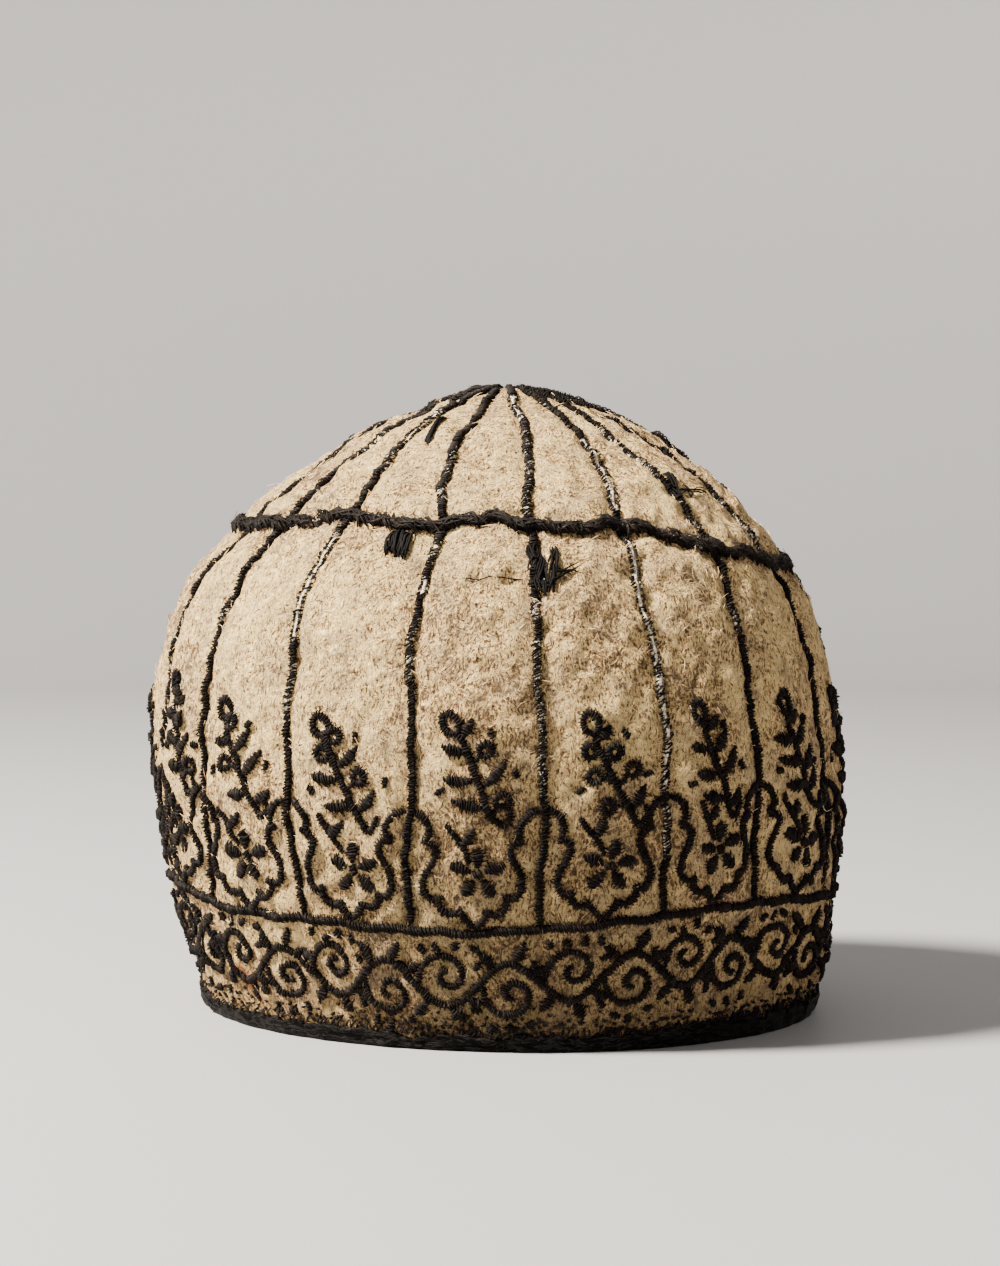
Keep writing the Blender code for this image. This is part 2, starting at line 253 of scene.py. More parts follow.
def standOut(gore, rise, level, points):
    # how far the felt stands out of its plain wall: swelling between the cords, a groove under the
    # ring and under each cord, the dents, the crease and the lumps
    puff = relief["puff"] * np.interp(level, relief["puffLevels"], (0, 1, 1, 0))
    out = puff * np.abs(np.sin(math.pi * gore))
    ring = lineRise(lines["ring"], placeAngle(gore, 2.0 + 0 * rise))
    out = out - relief["ringDepth"] * np.exp(-((rise - ring) / relief["ringHalf"]) ** 2)
    sewn = np.interp(level, relief["sewnLevels"], (0, 1, 1, 0))
    out = out - relief["cordDepth"] * sewn * np.exp(-(besideCord(gore, rise) / relief["cordHalf"]) ** 2)
    for dentGore, dentLevel, depth, gores, levels in relief["dents"]:
        out = out - depth * np.exp(-((gore - dentGore) / gores) ** 2 - ((level - dentLevel) / levels) ** 2)
    crease = relief["crease"]
    inside = np.clip((gore - crease["from"]) / crease["ends"], 0, 1)
    inside = inside * np.clip((crease["to"] - gore) / crease["ends"], 0, 1)
    out = out - crease["depth"] * inside * np.exp(-((rise - crease["rise"]) / crease["half"]) ** 2)
    calm = relief["calm"]
    share = np.clip((topRise - rise) / calm["top"], calm["least"], 1)
    share = share * np.clip(level * calm["hem"], calm["hemLeast"], 1)
    for size, height, seed in relief["lumps"]:
        out = out + height * share * softNoise(points, size, seed)
    return out


def onFelt(gore, rise, lift=0.0):
    # points on the outside of the felt, lifted square off it, with their three directions
    gore, rise = np.broadcast_arrays(np.asarray(gore, float), np.asarray(rise, float))
    angle, level = place(gore, rise)
    points = plainWall(angle, rise)
    east, north, out = wallWays(angle, rise)
    points = points + out * (standOut(gore, rise, level, points) + lift)[..., None]
    return points, east, north, out


def goreAt(angle, rise):
    # the gore of an angle at a rise, read back from a fine row of gores
    fine = np.linspace(-1, wall["gores"] - 1, 2400)
    found = [np.interp(a, place(fine, r + 0 * fine)[0], fine) for a, r in np.broadcast(angle, rise)]
    return np.array(found)


def bandRise(gore):
    # how far up the wall the band line runs at a gore
    return lineRise(lines["band"], placeAngle(gore, 1.0 + 0 * gore))


# Meshes. A part is its points, its faces (a list of arrays) and its marks, one value a point

def joinParts(parts):
    # several parts as one: points and marks in a row, faces counted on
    faces, first = [], 0
    for part in parts:
        faces += [f + first for f in part["faces"]]
        first += len(part["points"])
    points = np.concatenate([part["points"] for part in parts])
    marks = {key: np.concatenate([part["marks"][key] for part in parts]) for key in parts[0]["marks"]}
    return {"points": points, "faces": faces, "marks": marks}


madeTriangles = []


def putMesh(name, part, material, nodes=()):
    # a part as a named piece that rides on the hat and, where it says so, stands for CAD nodes
    mesh = bpy.data.meshes.new(name)
    corners = np.concatenate([f.ravel() for f in part["faces"]]).astype(np.int32)
    counts = np.concatenate([np.full(len(f), f.shape[1]) for f in part["faces"]])
    starts = np.append(0, np.cumsum(counts)[:-1]).astype(np.int32)
    mesh.vertices.add(len(part["points"]))
    mesh.vertices.foreach_set("co", part["points"].astype(np.float32).ravel())
    mesh.loops.add(len(corners))
    mesh.loops.foreach_set("vertex_index", corners)
    mesh.polygons.add(len(starts))
    mesh.polygons.foreach_set("loop_start", starts)
    mesh.update(calc_edges=True)
    mesh.shade_smooth()
    for key, values in part["marks"].items():
        mesh.attributes.new(key, "FLOAT", "POINT").data.foreach_set("value", values.astype(np.float32))
    mesh.materials.append(material)
    piece = bpy.data.objects.new(name, mesh)
    bpy.context.scene.collection.objects.link(piece)
    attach(piece, "root")
    if nodes:
        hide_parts(*nodes)
    triangles = int((counts - 2).sum())
    madeTriangles.append(triangles)
    print(f"{name}: {triangles} triangles")


def ringQuads(at):
    # four-cornered faces between rows of points, given by their numbers; each row closes into a ring
    beside = np.roll(at, -1, axis=-1)
    corners = at[..., :-1, :], beside[..., :-1, :], beside[..., 1:, :], at[..., 1:, :]
    return np.stack(corners, -1).reshape(-1, 4)


def fanFaces(ring, tip):
    # three-cornered faces from a ring of points to one point
    return np.stack([ring, np.roll(ring, -1), np.full(len(ring), tip)], -1)


def strands(spine, radius, across, sides=3, **marks):
    # a ring of corners round every point of every spine, square to its run, and closed ends.
    # spine is strands x points x 3, and a mark is one value for each strand or one for all of them
    run = unit(np.gradient(spine, axis=1))
    first = unit(np.cross(run, across))
    second = np.cross(run, first)
    turn = 2 * math.pi * np.arange(sides) / sides
    ring = (first[:, :, None] * (radius[..., None] * np.cos(turn))[..., None]
            + second[:, :, None] * (radius[..., None] * np.sin(turn))[..., None])
    points = (spine[:, :, None] + ring).reshape(-1, 3)
    at = np.arange(len(points)).reshape(*spine.shape[:2], sides)
    values = {}
    for key, value in marks.items():
        each = np.broadcast_to(np.asarray(value, float)[..., None], spine.shape[:2])
        values[key] = np.repeat(each.ravel(), sides)
    return {"points": points, "faces": [ringQuads(at), at[:, 0, ::-1], at[:, -1]], "marks": values}


# Cords: a pale core, wool wound over it from side to side, and loose hairs

cordStyles = {
    "gore": {"half": 0.00122, "tall": 0.00112, "yarn": 0.00036, "pitch": 0.00072, "lean": 0.42,
             "spike": 0.00032, "jitter": 0.28, "hairs": 1.00, "hairLength": 0.0014, "uneven": 0.15},
    "ring": {"half": 0.00180, "tall": 0.00175, "yarn": 0.00048, "pitch": 0.00085, "lean": 1.10,
             "spike": 0.00150, "jitter": 0.50, "hairs": 3.30, "hairLength": 0.0029, "uneven": 0.22},
    "band": {"half": 0.00140, "tall": 0.00112, "yarn": 0.00036, "pitch": 0.00072, "lean": 0.45,
             "spike": 0.00040, "jitter": 0.20, "hairs": 0.50, "hairLength": 0.0012, "uneven": 0.12},
    "cartouche": {"half": 0.00120, "tall": 0.00090, "yarn": 0.00034, "pitch": 0.00072, "lean": 0.25,
                  "spike": 0.00060, "jitter": 0.20, "hairs": 0.40, "hairLength": 0.0011, "uneven": 0.13},
    "ornament": {"half": 0.00120, "tall": 0.00088, "yarn": 0.00037, "pitch": 0.00077, "lean": 0.20,
                 "spike": 0.00055, "jitter": 0.18, "hairs": 0.30, "hairLength": 0.0011, "uneven": 0.13},
}

cordBuild = {
    "lift": 0.18,              # height of its middle above the felt, as a share of its tall
    "tallest": 1.1,            # a thick stretch is higher only up to this share
    "coreSides": 6, "coreTall": 0.80, "coreHalf": 0.76, "wornCore": 0.64, "coreRubbed": 0.30,
    "coreStep": 2.0,           # wraps for each ring of the core
    "wrap": {"across": (-1.0, -0.55, 0.50, 1.0), "height": (-0.05, 1.0, 1.0, -0.05), "tone": 1.0},
    "stub": {"across": (-1.14, -0.92, -0.70, -0.36), "height": (-0.05, 0.44, 0.62, 0.50), "tone": 0.3},
    "yarnTaper": (0.36, 0.98, 0.98, 0.36),
    "wornKept": 0.08, "rubbedLost": 0.34, "stubKept": 0.90,    # chances of a wrap or a stub
    "hairRadius": (0.00010, 0.00008, 0.00004),
    "unevenWaves": (0.0022, 0.012), "wornWaves": (0.0022, 0.009),    # shortest and longest
    "endTaper": 0.62,          # width at a free end
}


def evenPlaces(gore, rise, step):
    # the same path over the felt, walked in even steps: gore, rise and distance gone
    points = onFelt(gore, rise)[0]
    gone = np.append(0, np.cumsum(np.linalg.norm(np.diff(points, axis=0), axis=1)))
    marks = np.linspace(0, gone[-1], max(3, int(round(gone[-1] / step)) + 1))
    return np.interp(marks, gone, gore), np.interp(marks, gone, rise), marks


def cordFrame(gore, rise, lift, closed):
    # points of a path on the felt with the directions along it, beside it and out of it
    points, east, north, out = onFelt(gore, rise, lift)
    if closed:
        run = np.roll(points, -1, axis=0) - np.roll(points, 1, axis=0)
    else:
        run = np.gradient(points, axis=0)
    run = unit(run)
    side = unit(np.cross(run, out))
    return points, run, side, np.cross(side, run)


def wavesAlong(gone, length, shortest, longest, seed):
    # smooth random values along a cord, between about -1 and 1: a mean of sine waves, each with a
    # whole number of turns in the length so that closed cords meet
    dice = np.random.default_rng(seed)
    low, high = max(1, int(length / longest)), max(2, int(length / shortest))
    turns = dice.integers(low, high + 1, 7)[:, None]
    return np.sin(2 * math.pi * turns * gone / length + dice.uniform(0, 6.3, (7, 1))).sum(0) / 3.0


def cordCore(path, style, closed):
    # a flat oval tube, half sunk in the felt
    points, run, side, up = path["frame"]
    sides, taper = cordBuild["coreSides"], path["taper"]
    turn = 2 * math.pi * np.arange(sides) / sides
    slim = np.where(path["worn"], cordBuild["wornCore"], 1.0)
    tall = cordBuild["coreTall"] * style["tall"] * np.minimum(taper, cordBuild["tallest"]) * slim
    half = cordBuild["coreHalf"] * style["half"] * taper * slim
    ring = up[:, None] * (tall[:, None] * np.cos(turn))[..., None]
    ring = ring + side[:, None] * (half[:, None] * np.sin(turn))[..., None]
    points = (points[:, None] + ring).reshape(-1, 3)
    at = np.arange(len(points)).reshape(-1, sides)
    faces = [ringQuads(np.vstack([at, at[:1]]))] if closed else [ringQuads(at), at[:1, ::-1], at[-1:]]
    bare = np.where(path["worn"], 1.0, np.minimum(path["rubbed"], cordBuild["coreRubbed"]))
    bare = np.repeat(bare, sides)
    return {"points": points, "faces": faces, "marks": {"tone": 0 * bare + 0.1, "bare": bare}}


def cordWraps(path, style, dice):
    # each wrap is a short strand over the core: four points across an arch, its ends out on the
    # felt. Where the cord is worn bare, two stubs at its sides are left of it
    points, run, side, up = path["frame"]
    worn, rubbed = path["worn"], path["rubbed"]
    chance = dice.uniform(0, 1, len(worn))
    kept = np.where(worn, chance < cordBuild["wornKept"], chance > cordBuild["rubbedLost"] * rubbed)
    stubs = [~kept & (dice.uniform(0, 1, len(worn)) < cordBuild["stubKept"]) for hand in (1, -1)]
    made = []
    for kind, hand, rows in (("wrap", 1, kept), ("stub", 1, stubs[0]), ("stub", -1, stubs[1])):
        n, shape = int(rows.sum()), cordBuild[kind]
        if n < 1:
            continue
        taper = path["taper"][rows, None]
        across = hand * np.array(shape["across"]) * style["half"] * taper * dice.uniform(0.92, 1.10, (n, 1))
        spikes = dice.uniform(0, 1, (n, 2)) ** 2.5 * style["spike"]
        across[:, 0] -= hand * spikes[:, 0]
        if kind == "wrap":
            across[:, 3] += spikes[:, 1]
        height = np.array(shape["height"]) * style["tall"] * np.minimum(taper, cordBuild["tallest"])
        height = height * dice.uniform(0.86, 1.16, (n, 1))
        along = across * (style["lean"] + dice.normal(0, style["jitter"], (n, 1)))
        along = along + dice.normal(0, 0.16 * style["pitch"], (n, 1))
        spine = (points[rows, None] + side[rows, None] * across[..., None]
                 + up[rows, None] * height[..., None] + run[rows, None] * along[..., None])
        radius = style["yarn"] * np.array(cordBuild["yarnTaper"]) * dice.uniform(0.80, 1.22, (n, 1))
        tone = dice.uniform(0, 1, n) * shape["tone"]
        specks = 0.50 * rubbed[rows] * dice.uniform(0.0, 1.0, n) ** 2 if kind == "wrap" else 0.0
        made.append(strands(spine, radius, run[rows, None], tone=tone, bare=specks))
    return made


def cordHairs(path, style, dice):
    # loose hairs: each starts on the wool and bends out of it in a random direction
    points, run, side, up = path["frame"]
    count = int(path["length"] * 1000 * style["hairs"])
    if count < 1:
        return []
    at = dice.integers(0, len(points), count)
    angle = dice.uniform(-1.5, 1.5, count)
    out = up[at] * np.cos(angle)[:, None] + side[at] * np.sin(angle)[:, None]
    start = points[at] + out * (0.75 * style["half"])
    way = unit(out + run[at] * dice.normal(0, 0.9, (count, 1)) + side[at] * dice.normal(0, 0.4, (count, 1)))
    bend = unit(way + run[at] * dice.normal(0, 1.2, (count, 1)) - up[at] * 0.7)
    length = style["hairLength"] * dice.uniform(0.3, 1.2, (count, 1))
    middle = start + way * length * 0.5
    spine = np.stack([start, middle, middle + bend * length * 0.5], 1)
    radius = np.array(cordBuild["hairRadius"]) * np.ones((count, 1))
    across = np.roll(way, 1, axis=1)[:, None]
    return [strands(spine, radius, across, tone=dice.uniform(0.3, 1, count), bare=0.0)]


def sewCord(gore, rise, style, seed, lift=None, bare=None, closed=False, widths=(1.0, 1.0)):
    # a whole cord along a path: its core, its wraps and its hairs, as a list of parts. Its widths
    # are shares of the style's, evenly spaced along it, and it is worn through where slow waves
    # fall below a limit that grows with how bare it is
    dice = np.random.default_rng(seed)
    parts = []
    for step, kind in ((cordBuild["coreStep"] * style["pitch"], "core"), (style["pitch"], "wool")):
        g, r, gone = evenPlaces(gore, rise, step)
        length = gone[-1]
        if closed:
            g, r, gone = g[:-1], r[:-1], gone[:-1]
        high = cordBuild["lift"] * style["tall"] + (0 if lift is None else lift(g, r))
        taper = np.interp(gone / length, np.linspace(0, 1, len(widths)), widths)
        taper = taper * (1 + style["uneven"] * wavesAlong(gone, length, *cordBuild["unevenWaves"], seed + 1))
        if not closed:
            near, end = np.minimum(gone, length - gone), cordBuild["endTaper"]
            taper = taper * np.clip(end + (1 - end) * near / (1.6 * style["half"]), 0, 1)
        rubbed = np.zeros(len(g)) if bare is None else bare(g, r)
        worn = wavesAlong(gone, length, *cordBuild["wornWaves"], seed + 2) < 3.0 * rubbed - 1.75
        worn = worn & (rubbed > 0.45)
        path = {"frame": cordFrame(g, r, high, closed), "taper": taper, "worn": worn,
                "rubbed": rubbed, "length": length}
        if kind == "core":
            parts.append(cordCore(path, style, closed))
        else:
            parts += cordWraps(path, style, dice) + cordHairs(path, style, dice)
    return parts


def softLine(points, step=0.3):
    # smooth line through points in millimetres, about one point each step
    rows = np.array(points, float)
    rows = np.vstack([2 * rows[0] - rows[1], rows, 2 * rows[-1] - rows[-2]])
    spans = []
    for i in range(len(rows) - 3):
        steps = max(2, int(np.linalg.norm(rows[i + 2] - rows[i + 1]) / step))
        share = np.linspace(0, 1, steps, endpoint=False)[:, None]
        spans.append(between(*rows[i:i + 4], share))
    return np.vstack(spans + [rows[-2]])


def goreLine(k, points):
    # a line in millimetres from the middle of gore k and above its band line, as gore and rise
    across, up = np.array(points).T / 1000
    rise = bandRise(k + 0.5 + across / wall["bandPitch"]) + up
    return k + 0.5 + across / pitchAt(rise), rise


# Upright cords

goreCord = {
    "start": 0.0016,                  # above the band line
    "long": 0.0040, "short": 0.0085,  # how far from the top every other cord ends
    "wander": 0.00055,
    "waves": ((96, 2.1, 1.0), (231, 1.3, 0.7), (610, 1.0, 0.3)),   # turn a metre, start, share
    "settle": 0.02,                   # it comes back to its line over this distance from its end
    "moved": {8: -0.0026},            # cords that stray to one side
    "widths": (1.05, 1.05, 1.05, 1.05, 1.12, 1.18, 1.15, 0.95),
    "bare": (                         # cord, from rise, to rise, how bare
        (0, 0.150, 0.190, 0.12),
        (1, 0.118, 0.128, 0.40), (1, 0.150, 0.158, 0.70), (1, 0.186, 0.200, 0.50),
        (2, 0.090, 0.112, 0.42), (2, 0.114, 0.152, 0.95), (2, 0.175, 0.190, 0.40), (2, 0.190, 0.212, 1.0),
        (3, 0.100, 0.128, 0.30), (3, 0.129, 0.137, 1.00), (3, 0.138, 0.151, 0.55), (3, 0.160, 0.190, 0.42),
        (4, 0.070, 0.120, 0.26), (4, 0.122, 0.131, 0.90), (4, 0.156, 0.200, 0.43), (4, 0.200, 0.226, 0.62),
        (5, 0.054, 0.074, 0.40), (5, 0.072, 0.110, 0.50), (5, 0.108, 0.152, 0.85), (5, 0.158, 0.196, 0.85),
        (6, 0.116, 0.128, 0.45), (6, 0.150, 0.160, 0.50), (6, 0.170, 0.205, 0.42),
        (7, 0.140, 0.170, 0.40), (9, 0.130, 0.150, 0.60), (11, 0.160, 0.200, 0.80),
        (13, 0.090, 0.120, 0.50), (15, 0.120, 0.150, 0.80), (17, 0.165, 0.195, 0.60),
    ),
    "bareEnds": 0.004,                # each worn stretch starts and ends softly over this distance
}


def bareCord(k):
    # how bare a cord is along its rise: soft steps at the ends of each worn stretch
    def bare(gore, rise):
        total = 0 * rise
        for cord, low, high, share in goreCord["bare"]:
            if cord == k:
                inside = np.clip((rise - low) / goreCord["bareEnds"], 0, 1)
                inside = inside * np.clip((high - rise) / goreCord["bareEnds"], 0, 1)
                total = np.maximum(total, share * inside)
        return total
    return bare


def makeGoreCord(k, wool):
    # the path runs up its own gore line with a little wander, from the band line to the crown
    low = bandRise(np.array([float(k)]))[0] + goreCord["start"]
    high = topRise - goreCord["long" if k % 2 == 0 else "short"]
    rise = np.linspace(low, high, 240)
    wave = sum(share * np.sin(rise * turn + k * start) for turn, start, share in goreCord["waves"])
    fade = np.clip((high - rise) / goreCord["settle"], 0, 1)
    stray = goreCord["wander"] * wave + goreCord["moved"].get(k, 0.0)
    gore = k + stray * fade / pitchAt(rise)
    parts = sewCord(gore, rise, cordStyles["gore"], 100 + k, bare=bareCord(k), widths=goreCord["widths"])
    number = f"{k + 1:02d}"
    putMesh(f"gore_cord_wool_{number}", joinParts(parts), wool, [f"gore_cord_{number}"])


# Ring cord and band cord

ringCord = {
    "climb": 0.0013, "climbHalf": 0.0032,   # where it crosses the upright cords
    "wander": 0.0005,
    "waves": ((45, 1.0, 1.0), (31, 0.0, 0.6), (113, 0.0, 0.35)),    # number round the cap, start, share
    "loops": 60, "loopYarn": 0.00020,
    "loose": 640, "looseLength": (0.0030, 0.0075), "looseYarn": 0.00030,
    "bare": ((-50.0, -45.0, 0.9), (40.0, 42.5, 0.4), (150.0, 156.0, 0.6)),    # angles, how bare
}

bandCord = {"wander": 0.0003, "waves": ((40, 0.0, 1.0), (23, 2.0, 0.6))}


def wavesRound(gore, waves):
    # sine waves round the cap, added up by their shares
    return sum(share * np.sin(gore * 2 * math.pi * turns / wall["gores"] + start)
               for turns, start, share in waves)


def makeRingCord(wool):
    # closed path on the ring line, lifted over each upright cord, with loose yarn and loops on it
    style = cordStyles["ring"]
    gore = np.linspace(0, wall["gores"], 1200)
    angle = placeAngle(gore, 2.0 + 0 * gore)
    rise = lineRise(lines["ring"], angle) + ringCord["wander"] * wavesRound(gore, ringCord["waves"])

    def climb(g, r):
        return ringCord["climb"] * np.exp(-(besideCord(g, r) / ringCord["climbHalf"]) ** 2)

    def bare(g, r):
        turned = placeAngle(g, 2.0 + 0 * g)
        total = 0 * g
        for low, high, share in ringCord["bare"]:
            total = np.maximum(total, share * ((turned > low) & (turned < high)))
        return total

    parts = sewCord(gore, rise, style, 201, lift=climb, bare=bare, closed=True)
    parts += looseYarn(gore, rise, climb) + ringLoops(gore, rise)
    putMesh("ring_cord_wool", joinParts(parts), wool, ["crown_ring_cord"])


def looseYarn(gore, rise, climb):
    # strands that run slantwise along the cord on top of its wraps, from one side to the other or
    # back, their height that of an arch over it
    dice = np.random.default_rng(203)
    style, count, steps = cordStyles["ring"], ringCord["loose"], 5
    length = dice.uniform(*ringCord["looseLength"], (count, 1))
    start = dice.uniform(0, wall["gores"], (count, 1))
    share = np.linspace(0, 1, steps)
    g = start + length * share / float(pitchAt(0.150))
    side = dice.uniform(-1.1, 1.1, (count, 1)) * (1 - share)
    side = side + dice.uniform(-1.1, 1.1, (count, 1)) * share
    side = side + dice.normal(0, 0.15, (count, steps))
    base = np.interp(g % wall["gores"], gore, rise)
    arch = np.sqrt(np.clip(1 - (side / 1.25) ** 2, 0, 1))
    lift = 0.25 * style["tall"] + climb(g, base)
    lift = lift + style["tall"] * arch * dice.uniform(0.95, 1.25, (count, 1))
    spine = onFelt(g, base + side * style["half"], lift)[0]
    out = onFelt(g[:, :1], base[:, :1])[3]
    radius = ringCord["looseYarn"] * dice.uniform(0.6, 1.3, (count, 1)) * np.array((0.4, 1, 1, 1, 0.4))
    return [strands(spine, radius, out, tone=dice.uniform(0.2, 1, count), bare=0.0)]


def ringLoops(gore, rise):
    # a loop is a bent ring: round the cord's own line, standing up off the felt and leaning over
    dice = np.random.default_rng(205)
    count, steps = ringCord["loops"], 9
    at = dice.integers(0, len(gore) - 1, count)
    points, east, north, out = onFelt(gore[at], rise[at], 0.0014)
    size = dice.uniform(0.0008, 0.0021, (count, 1, 1))
    turn = np.linspace(-0.5, math.pi + 0.5, steps)[None, :, None]
    lean = dice.uniform(-1.2, 1.2, (count, 1))
    upward = unit(out * np.cos(lean) + north * np.sin(lean))[:, None]
    around = unit(east + north * dice.normal(0, 0.5, (count, 1)))[:, None]
    spine = points[:, None] + around * np.cos(turn) * size * 1.1 + upward * np.sin(turn) * size * 0.9
    radius = ringCord["loopYarn"] * dice.uniform(0.7, 1.3, (count, 1)) * np.ones((1, steps))
    tone = dice.uniform(0.4, 1, count)
    return [strands(spine, radius, np.cross(around, upward), sides=4, tone=tone, bare=0.0)]


def makeBandCord(wool):
    # closed path on the band line
    gore = np.linspace(0, wall["gores"], 1200)
    rise = bandRise(gore) + bandCord["wander"] * wavesRound(gore, bandCord["waves"])
    parts = sewCord(gore, rise, cordStyles["band"], 202, closed=True)
    putMesh("band_cord_wool", joinParts(parts), wool, ["band_cord"])


# Cartouches

cartouche = {
    # half of it, from its point on the band line up to an upright cord: share of the half gore, and
    # millimetres above the band line; the lobes between the cusps are smooth
    "lobes": (
        ((0.00, 1.6), (0.11, 3.4), (0.20, 6.0)),
        ((0.20, 6.0), (0.30, 5.2), (0.41, 6.0), (0.48, 7.6), (0.49, 9.6)),
        ((0.49, 9.6), (0.60, 9.3), (0.69, 11.0), (0.725, 13.6), (0.69, 16.6), (0.61, 19.4),
         (0.555, 22.0), (0.575, 24.2), (0.70, 25.6)),
        ((0.70, 25.6), (0.665, 28.0), (0.70, 30.6), (0.80, 32.8), (0.93, 33.6)),
    ),
    "middle": 0.07,      # the rise whose gore width it is drawn for
    "shake": 0.35,       # millimetres by which a hand varies it
    "past": (0.3, 1.5),  # how far a lobe's end runs past the cusp
}


def makeCartouche(k, wool):
    # the lobes of one half, their mirror image, and a small slow wave that makes each one its own.
    # Every lobe is sewn by itself, its ends a little past the cusps
    style = cordStyles["cartouche"]
    half = 1000 * float(pitchAt(cartouche["middle"])) / 2
    lobes = [softLine([(out * half, up) for out, up in lobe]) for lobe in cartouche["lobes"]]
    lobes = [lobe[::-1] * (-1, 1) for lobe in lobes[::-1]] + lobes
    whole = np.vstack(lobes)
    turn = np.linspace(0, 2 * math.pi, len(whole))
    dice = np.random.default_rng(300 + k)
    for axis in (0, 1):
        wave = np.sin(turn * dice.uniform(1, 3) + dice.uniform(0, 6)) * np.sin(turn / 2)
        whole[:, axis] += cartouche["shake"] * wave
    parts = []
    cusps = np.cumsum([len(lobe) for lobe in lobes])[:-1]
    for i, lobe in enumerate(np.split(whole, cusps)):
        past = dice.uniform(*cartouche["past"], 2) * (i not in (0, 4), i not in (3, 7))
        start = lobe[0] - past[0] * unit(lobe[2] - lobe[0])
        end = lobe[-1] + past[1] * unit(lobe[-1] - lobe[-3])
        gore, rise = goreLine(k, np.vstack([start, lobe, end]))
        parts += sewCord(gore, rise, style, 3200 + 20 * k + i)
    name = f"cartouche_cord_{k + 1:02d}"
    putMesh(name + "_wool", joinParts(parts), wool, [name])


# Ornament: leafy sprigs, flowers and a running vine, in the same cord. A stroke is its line in
# millimetres and its widths along it

plain = (1.0, 1.0)
leafWidths = (0.70, 1.25, 1.70, 1.65, 1.20, 0.55)


def heading(way):
    # how far right and up one step goes in a direction given in degrees
    return math.cos(math.radians(way)), math.sin(math.radians(way))


def leaf(x, y, way, length, bend=12.0):
    # a leaf is one short bowed stroke: it starts in a direction and turns a little towards its tip
    t = np.linspace(0, 1, 8)
    turn = np.radians(way + bend * (2 * t - 1))
    steps = length / 7 * np.stack([np.cos(turn), np.sin(turn)], -1)[:-1]
    return np.vstack([[x, y], np.array((x, y)) + np.cumsum(steps, axis=0)]), leafWidths


def bud(x, y, way, length, wide):
    # closed outline: out and back along its way, as wide as a sine, rounder near its start
    t = np.linspace(0, 1, 24)
    along = length * (0.5 - 0.5 * np.cos(2 * math.pi * t))
    beside = 0.5 * wide * np.sin(2 * math.pi * t) * (1.15 - 0.3 * along / length)
    c, s = heading(way)
    return np.stack([x + along * c - beside * s, y + along * s + beside * c], -1), plain


def scroll(x, y, start, turns, wide, close, hand):
    # spiral round a middle: its radius falls from wide to close, fast at first
    t = np.linspace(0, 1, int(26 * turns) + 4)
    radius = close + (wide - close) * (1 - t) ** 1.6
    turn = np.radians(start) + hand * 2 * math.pi * turns * t
    return np.stack([x + radius * np.cos(turn), y + radius * np.sin(turn)], -1), (0.9, 0.9, 0.85, 0.95)


def knot(x, y, way):
    # a dot is a stroke about as long as it is wide
    half = np.array((math.cos(way), math.sin(way))) * 1.15
    middle = np.array((x, y))
    return np.array([middle - half, middle, middle + half]), (1.1, 1.1)


def onLine(line, share):
    # the point at a share of a line, and the line's direction there in degrees
    at = min(int(share * (len(line) - 1)), len(line) - 2)
    step = line[at + 1] - line[at]
    return line[at][0], line[at][1], math.degrees(math.atan2(step[1], step[0]))


sprig = {
    "stem": ((9.0, 34.6), (9.4, 31.0), (7.2, 29.2), (4.6, 32.6), (2.0, 38.6), (-0.9, 45.0), (-3.7, 51.2),
             (-5.0, 55.4)),
    "leaves": (          # share of the stem, turn from it, length
        (0.31, -64, 7.4), (0.39, 62, 8.0), (0.52, -60, 8.6), (0.60, 60, 7.8),
        (0.72, -58, 7.6), (0.81, 58, 6.0), (0.92, -56, 5.4),
    ),
    "berry": 0.34,       # chance of a berry on a stalk in place of a leaf
    "berrySize": (3.9, 3.6), "berryRoom": 4.6,
    "tip": (6.0, 4.4),   # length and width of the bud at the top
    "dots": ((10.4, 43.0), (-9.6, 40.0), (4.0, 55.0)),
    "shake": 0.5,
    "moved": ((3.0, 1.5), (0.0, 0.0), (0.0, -2.5), (0.0, 0.5), (1.5, -2.0), (-0.5, -3.0), (0.0, -2.5)),
    "outline": {17: (-4.5, -3.0)},      # a sprig that the outline would show too much of
}


def sprigStrokes(k, dice):
    # a bent stem with leaves or berries in turn on both sides, a bud at its tip, dots beside it
    moved = np.array(sprig["moved"][k] if k < len(sprig["moved"]) else dice.normal(0, 0.8, 2))
    moved = moved + sprig["outline"].get(k, (0.0, 0.0))
    stem = np.array(sprig["stem"]) + moved + dice.normal(0, sprig["shake"], (len(sprig["stem"]), 2))
    line = softLine(stem)
    strokes = [(line, (0.8, 0.95, 1.0, 1.0, 0.9))]
    for share, turn, length in sprig["leaves"]:
        x, y, way = onLine(line, share + dice.normal(0, 0.012))
        way, length = way + turn + dice.normal(0, 5), length * dice.uniform(0.88, 1.12)
        c, s = heading(way)
        if dice.uniform() < sprig["berry"]:
            far = length - sprig["berryRoom"]
            stalk = np.array([(x + step * c, y + step * s) for step in (0.0, 0.5 * far, far)])
            strokes += [(stalk, (0.7, 0.7)), bud(*stalk[-1], way, *sprig["berrySize"])]
        else:
            strokes.append(leaf(x + 0.8 * c, y + 0.8 * s, way, length, -math.copysign(14, turn)))
    x, y, way = onLine(line, 1.0)
    strokes.append(bud(x, y, way, *sprig["tip"]))
    for dot in sprig["dots"]:
        x, y = np.array(dot) + moved + dice.normal(0, 0.8, 2)
        strokes.append(knot(x, y, dice.uniform(0, 3)))
    return strokes


flower = {
    "middle": (1.2, 16.8), "petals": 5, "inner": 2.2, "petal": 5.2, "widths": (0.9, 1.5, 2.0, 2.0, 1.4),
    "stem": ((-0.6, 19.8), (-2.8, 23.6), (-5.4, 27.4), (-7.6, 30.8)),
    "leaf": (0.45, -66, 5.6),
}


